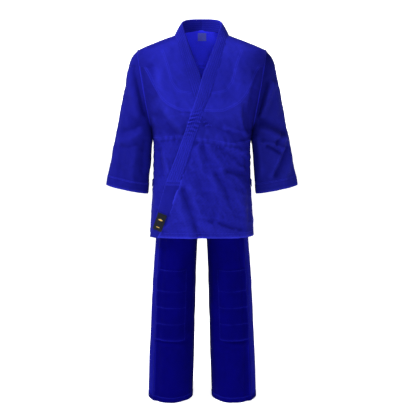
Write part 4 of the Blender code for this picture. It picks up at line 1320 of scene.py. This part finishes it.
def make_leg(side, name):
    form, relief = leg(side), (lambda points: leg_relief(points, side))
    facing = facing_of(form, 0.0, 0.3, [side, 0, 0])
    levels = np.linspace(LEG_HEM_Z, WAISTBAND[0] + 0.004, int(WAISTBAND[0] / SPACING))
    halves = (("front", -1, lambda z: -inner_angle(z), lambda z: 0.0, ["trouser_front", "shin_front"]),
              ("back", 0, lambda z: 0.0, inner_angle, ["trouser_back", "shin_back", "knee_fold"]))
    for half, seam, low_edge, high_edge, nodes in halves:
        u, v = section_grid(form, levels, low_edge, high_edge)
        points, like = laid(form, relief, u, v, facing)
        away = -1 if half == "front" else 1
        lines = [line_on(form, relief, u[:, seam] + away * offset, levels, facing, TROUSER_CLOTH / 2)
                 for offset in LEG_ROW_ANGLES]
        # Painted light on the outer side of each leg: lighter round the side seam and, on the front, across
        # the strip beyond the side crease. A lighter line also runs along the side crease below the knee.
        worn_and_lit = np.clip(0.8 * bell(u, 0.10), 0, 1)
        if half == "front":
            x = (side * points[..., 0] - profile(LEG, v)) / profile(LEG, v, 2) - cos(SIDE_CREASE_ANGLE)
            worn_and_lit = np.maximum(worn_and_lit, 0.40 * bell(x, 0.03) * smooth((0.62 - v) / 0.1))
            worn_and_lit = np.clip(np.maximum(worn_and_lit, 0.50 * smooth(x / 0.12)), 0, 1)
        cloth = shell(f"{name}_leg_{half}", points, like, TROUSER_CLOTH, "trousers", worn_and_lit, lines)
        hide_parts(*(f"{name}_{node}" for node in nodes))
        declare(form(u, v))
        shin_blend(cloth)

    over = leg(side, 0.0011)
    angles = np.linspace(-pi, pi, 130)
    levels = np.linspace(LEG_HEM_Z - 0.0002, TROUSER_HEM, 8)
    u, v = np.meshgrid(angles, levels)
    points, like = laid(over, relief, u, v, facing)
    lines = level_rows(over, relief, angles, [TROUSER_HEM - 0.0025], facing, TROUSER_CLOTH / 2)
    worn_and_lit = 0.5 * bell(v - TROUSER_HEM, 0.004)
    hem = shell(f"{name}_leg_hem", points, like, TROUSER_CLOTH, "trousers", worn_and_lit, lines)
    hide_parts(f"{name}_trouser_hem")
    declare(over(u, v))
    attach(hem, f"{name}_shin")

    over = leg(side, 0.0015)

    def quilt(points):
        rows = sum(bell(points[..., 2] - row, 0.0040) for row in PATCH_ROWS)
        plump = 0.0016 * np.clip(1 - rows, 0, 1)
        return leg_relief(points, side) + plump
    levels = np.linspace(PATCH_LOW_Z, PATCH_TOP_Z, 76)
    low, high = PATCH_MIDDLE - PATCH_HALF_ANGLE, PATCH_MIDDLE + PATCH_HALF_ANGLE
    u, v = section_grid(over, levels, lambda z: low, lambda z: high)
    edge = np.minimum(np.abs(u - low), np.abs(u - high)) * 0.09
    edge = np.minimum(edge, np.minimum(v - PATCH_LOW_Z, PATCH_TOP_Z - v))
    points, like = laid(over, quilt, u, v, facing)
    points = points - like * (0.0012 * bell(edge, 0.0035))[..., None]
    lines = level_rows(over, quilt, u[0], PATCH_ROWS, facing, TROUSER_CLOTH / 2)
    lines += level_rows(over, quilt, u[0][2:-2], (PATCH_LOW_Z + 0.003, PATCH_TOP_Z - 0.003), facing,
                        TROUSER_CLOTH / 2)
    for way in (-1, 1):
        turns = np.full_like(levels, PATCH_MIDDLE + way * (PATCH_HALF_ANGLE - 0.03))
        lines.append(line_on(over, quilt, turns, levels, facing, TROUSER_CLOTH / 2))
    outward = smooth((side * points[..., 0] - profile(LEG, v)) / 0.03)
    worn_and_lit = 0.22 * bell(edge - 0.003, 0.003) + 0.20 * sum(bell(v - row, 0.003) for row in PATCH_ROWS)
    worn_and_lit = np.clip(worn_and_lit * mix(0.5, 1.5, outward) + 0.25 * bell(v - PATCH_LOW_Z - 0.004, 0.004), 0, 1)
    patch = shell(f"{name}_knee_patch", points, like, TROUSER_CLOTH, "patch", worn_and_lit, lines)
    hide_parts(f"{name}_knee_patch_upper", f"{name}_knee_patch_lower")
    declare(over(u, v))
    shin_blend(patch)


def strip(name, points, like, thickness, slot, node, body, wear_and_shading=0.0, lines=()):
    """A small flat piece of cloth that stays on one body."""
    like = np.broadcast_to(like, points.shape)
    piece = shell(name, points, like, thickness, slot, np.full(points.shape[:2], wear_and_shading), lines)
    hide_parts(node)
    declare(points)
    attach(piece, body)
    return piece


def make_waist():
    low, high = WAISTBAND
    _, half, deep = (profile(LEG, low, column) for column in (1, 2, 3))
    angles = np.linspace(-pi / 2, 3 * pi / 2, 190)
    levels = np.linspace(low, high, 16)
    a, z = np.meshgrid(angles, levels)
    casing = 0.0008 + 0.0016 * np.sin(pi * (z - low) / (high - low)) + 0.0009 * np.sin(a * 60)
    radial = unit(np.stack([np.cos(a) / half, np.sin(a) / deep, 0 * a], -1))
    points = np.stack([half * np.cos(a), deep * np.sin(a), z], -1) + radial * casing[..., None]
    lines = [(points[row] + radial[row] * 0.0013, radial[row]) for row in (1, 7, 14)]
    band = shell("waistband_cloth", points, radial, 0.0026, "trousers", 0.2 * bell(z - high, 0.006), lines)
    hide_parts("waistband")
    declare(points)
    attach(band, "trousers")

    for name in ("left", "right"):
        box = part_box(f"{name}_drawcord_loop")
        s, t = np.meshgrid(np.linspace(0, 1, 7), np.linspace(0, 1, 26))
        x = mix(box[0].x, box[1].x, s)
        face = -deep * np.sqrt(1 - (x / half) ** 2) - 0.0030
        bulge = (face.min() - 0.0004 - box[0].y - 0.0030) * np.sin(pi * t) ** 0.7
        points = np.stack([x, face - bulge, mix(box[0].z + 0.001, box[1].z - 0.001, t)], -1)
        strip(f"{name}_cord_loop", points, [0.0, -1.0, 0.0], 0.0014, "trousers",
              f"{name}_drawcord_loop", "trousers", 0.3)
        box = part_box(f"{name}_drawcord_eyelet")
        make_eyelet(name, (box[0] + box[1]) / 2, (box[1].z - box[0].z) / 2)

    s, t = np.meshgrid(np.linspace(-1, 1, 61), np.linspace(-1, 1, 17))
    arm = np.abs(s)
    z = mix(*GUSSET_Z, arm)
    y = t * mix(*GUSSET_HALF_DEPTH, arm)
    centre, width, depth = (profile(LEG, z, column) for column in (1, 2, 3))
    wall = centre - width * np.sqrt(1 - (y / depth) ** 2)
    points = np.stack([np.sign(s) * (wall - 0.0030) * smooth(arm * 4), y, z], -1)
    strip("gusset_cloth", points, [0.0, 0.0, -1.0], TROUSER_CLOTH, "trousers", "crotch_gusset", "trousers")


def make_eyelet(name, centre, radius):
    """A hole worked round with close thread, as a ring of many small strands."""
    around, strands = 96, 12
    turns = np.linspace(0, 2 * pi, around, endpoint=False)
    a, b = np.meshgrid(turns, np.linspace(0, 2 * pi, strands, endpoint=False), indexing="ij")
    wire = 0.0012 * (1 + 0.16 * np.sin(24 * a))
    ring = radius - 0.0012 + wire * np.cos(b)
    points = np.stack([centre.x + ring * np.cos(a), centre.y + wire * np.sin(b) * 0.8,
                       centre.z + ring * np.sin(a)], -1)
    faces = ring_faces(around, strands, closed=True)
    corners = np.tile([[0, 0], [0.001, 0], [0.001, 0.001], [0, 0.001]], (len(faces), 1))
    ring_piece = mesh_piece(f"{name}_eyelet_thread", points.reshape(-1, 3), faces, corners,
                            np.zeros(around * strands), "thread", [])
    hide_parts(f"{name}_drawcord_eyelet")
    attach(ring_piece, "trousers")


# --------------------------------------------------------------------- labels

LABEL_CENTRE = (-0.1450, 0.6950)
LABEL_SIZE = (0.031, 0.066)
LABEL_TILT = radians(18)
LABEL_LIFT = 0.0024
MARK_LIFT = 0.0031
NECK_LABEL_Z = (1.3395, 1.3625)
NECK_LABEL_INSET = -0.0066


def label_point(a, b, out):
    """Point over the lapel's end, from the label's middle, with its outward normal."""
    x = LABEL_CENTRE[0] + a * cos(LABEL_TILT) + b * sin(LABEL_TILT)
    z = LABEL_CENTRE[1] - a * sin(LABEL_TILT) + b * cos(LABEL_TILT)
    angle = angle_at(x, z)
    form = front(1)
    normal = normals_of(form, angle, z)
    return form(angle, z) + normal * out, normal


def make_labels():
    a, b = np.meshgrid(np.linspace(-0.5, 0.5, 21) * LABEL_SIZE[0],
                       np.linspace(-0.5, 0.5, 41) * LABEL_SIZE[1])
    points, normal = label_point(a, b, LAPEL_HALF + LABEL_LIFT)
    label = shell("lapel_label_cloth", points, normal, 0.0008, "black_label", None, [])
    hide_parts("lapel_label")
    flap_blend(label)
    label_grid, marks = points, []
    for name, half, low, high in (("lapel_label_mark", 0.0075, 0.006, 0.0115),
                                  ("lapel_label_bar", 0.0055, -0.0215, -0.0190)):
        a, b = np.meshgrid(np.linspace(-half, half, 15), np.linspace(low, high, 9))
        if name.endswith("mark"):
            a = a * (1 - (np.abs(b - (low + high) / 2) / (high - low) * 2) ** 2 * 0.75)
        points, normal = label_point(a, b, LAPEL_HALF + MARK_LIFT)
        mark = shell(name, points, normal, 0.0004, "black_label")
        mark.data.materials[0] = MATERIALS["gold"]
        flap_blend(mark)
        marks.append(mark)
    declare(label_grid)

    low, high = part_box("neck_label")
    x, t = np.meshgrid(np.linspace(low.x, high.x, 17), np.linspace(0, 1, 15))
    z = mix(*NECK_LABEL_Z, t)
    from_middle = np.arcsin((np.abs(x) / half_width(z, True)) ** (SECTION_POWER / 2))
    angle = np.where(x >= 0, pi - from_middle, pi + from_middle)
    points = torso(angle, z, NECK_LABEL_INSET)
    strip("neck_label_cloth", points, [0.0, -1.0, 0.0], 0.0006, "thread", "neck_label", "jacket", 0.5)


def make_vent_patches():
    """A small reinforcement over the top of each side vent."""
    for side, name in ((1, "left"), (-1, "right")):
        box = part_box(f"{name}_vent_patch")
        s, t = np.meshgrid(np.linspace(-1, 1, 17), np.linspace(0, 1, 9))
        angle = side * (pi / 2 + radians(7.5) * s)
        z = mix(box[0].z, box[1].z, t)
        relief = torso_relief(torso(angle, z), 0)
        points = torso(angle, z, 0.0030 + relief * 0.3)
        like = np.broadcast_to([float(side), 0.0, 0.0], points.shape)
        lines = [(points[row] + like[row] * 0.0008, like[row]) for row in (1, 7)]
        strip(f"{name}_vent_cloth", points, like, 0.0014, "jacket", f"{name}_vent_patch", "jacket", 0.4,
              lines)


# --------------------------------------------------------------------- assembly

for side_sign, side_name in ((1, "left"), (-1, "right")):
    make_front(side_sign, side_name)
    make_sleeve(side_sign, side_name)
    make_leg(side_sign, side_name)
make_back()
make_collar_and_lapels()
make_waist()
make_labels()
make_vent_patches()

# ------------------------------------------------------- camera, floor, lights

CAMERA_DISTANCE = 3.40
CAMERA_HEIGHT = 1.28
CAMERA_PITCH = radians(9.17)
CAMERA_LENS = 79.4
CAMERA_X = 0.0224

camera = bpy.data.objects.new("camera", bpy.data.cameras.new("camera"))
bpy.context.scene.collection.objects.link(camera)
camera.location = (CAMERA_X, -CAMERA_DISTANCE, CAMERA_HEIGHT)
camera.rotation_euler = (pi / 2 - CAMERA_PITCH, 0, 0)
camera.data.lens = CAMERA_LENS
camera.data.sensor_width = 36.0
bpy.context.scene.camera = camera


def stage_sheet(name, corners, glow):
    """A plain white floor or backdrop, which isn't part of the object."""
    mesh = bpy.data.meshes.new(name)
    mesh.from_pydata(corners, [], [(0, 1, 2, 3)])
    sheet = bpy.data.objects.new(name, mesh)
    bpy.context.scene.collection.objects.link(sheet)
    paper = bpy.data.materials.new(name)
    paper.use_nodes = True
    shader = paper.node_tree.nodes["Principled BSDF"]
    shader.inputs["Base Color"].default_value = (0.92, 0.92, 0.92, 1)
    shader.inputs["Roughness"].default_value = 1.0
    shader.inputs["Specular IOR Level"].default_value = 0.0
    shader.inputs["Emission Color"].default_value = (1, 1, 1, 1)
    shader.inputs["Emission Strength"].default_value = glow
    mesh.materials.append(paper)


REACH = 30.0
FLOOR_Z = -0.0015
BACKDROP_Y = 14.0
BACKDROP_TOP = 5.4
stage_sheet("floor", [(-REACH, -REACH, FLOOR_Z), (REACH, -REACH, FLOOR_Z),
                      (REACH, REACH, FLOOR_Z), (-REACH, REACH, FLOOR_Z)], 0.80)
WALL_ENDS = ((-1, 1), (1, 1), (1, -1), (-1, -1), (-1, 1))
for number, (left, right) in enumerate(zip(WALL_ENDS, WALL_ENDS[1:])):
    a, b = np.array(left) * BACKDROP_Y, np.array(right) * BACKDROP_Y
    stage_sheet(f"backdrop_{number}",
                [(*a, -0.001), (*b, -0.001), (*b, BACKDROP_TOP), (*a, BACKDROP_TOP)], 0.9)

world = bpy.data.worlds.new("studio")
world.use_nodes = True
world.node_tree.nodes["Background"].inputs["Color"].default_value = (1, 1, 1, 1)
world.node_tree.nodes["Background"].inputs["Strength"].default_value = 0.12
bpy.context.scene.world = world
bpy.context.scene.view_settings.view_transform = "Standard"


def soft_light(name, place, target, size, power):
    data = bpy.data.lights.new(name, "AREA")
    data.shape = "SQUARE"
    data.size = size
    data.energy = power
    lamp = bpy.data.objects.new(name, data)
    bpy.context.scene.collection.objects.link(lamp)
    lamp.location = place
    lamp.rotation_euler = (Vector(target) - Vector(place)).to_track_quat("-Z", "Y").to_euler()


soft_light("key", (-1.55, -0.8, 3.3), (0, 0, 1.0), 0.42, 128)
soft_light("front", (0.05, -3.9, 1.45), (0, 0, 1.0), 0.7, 47)
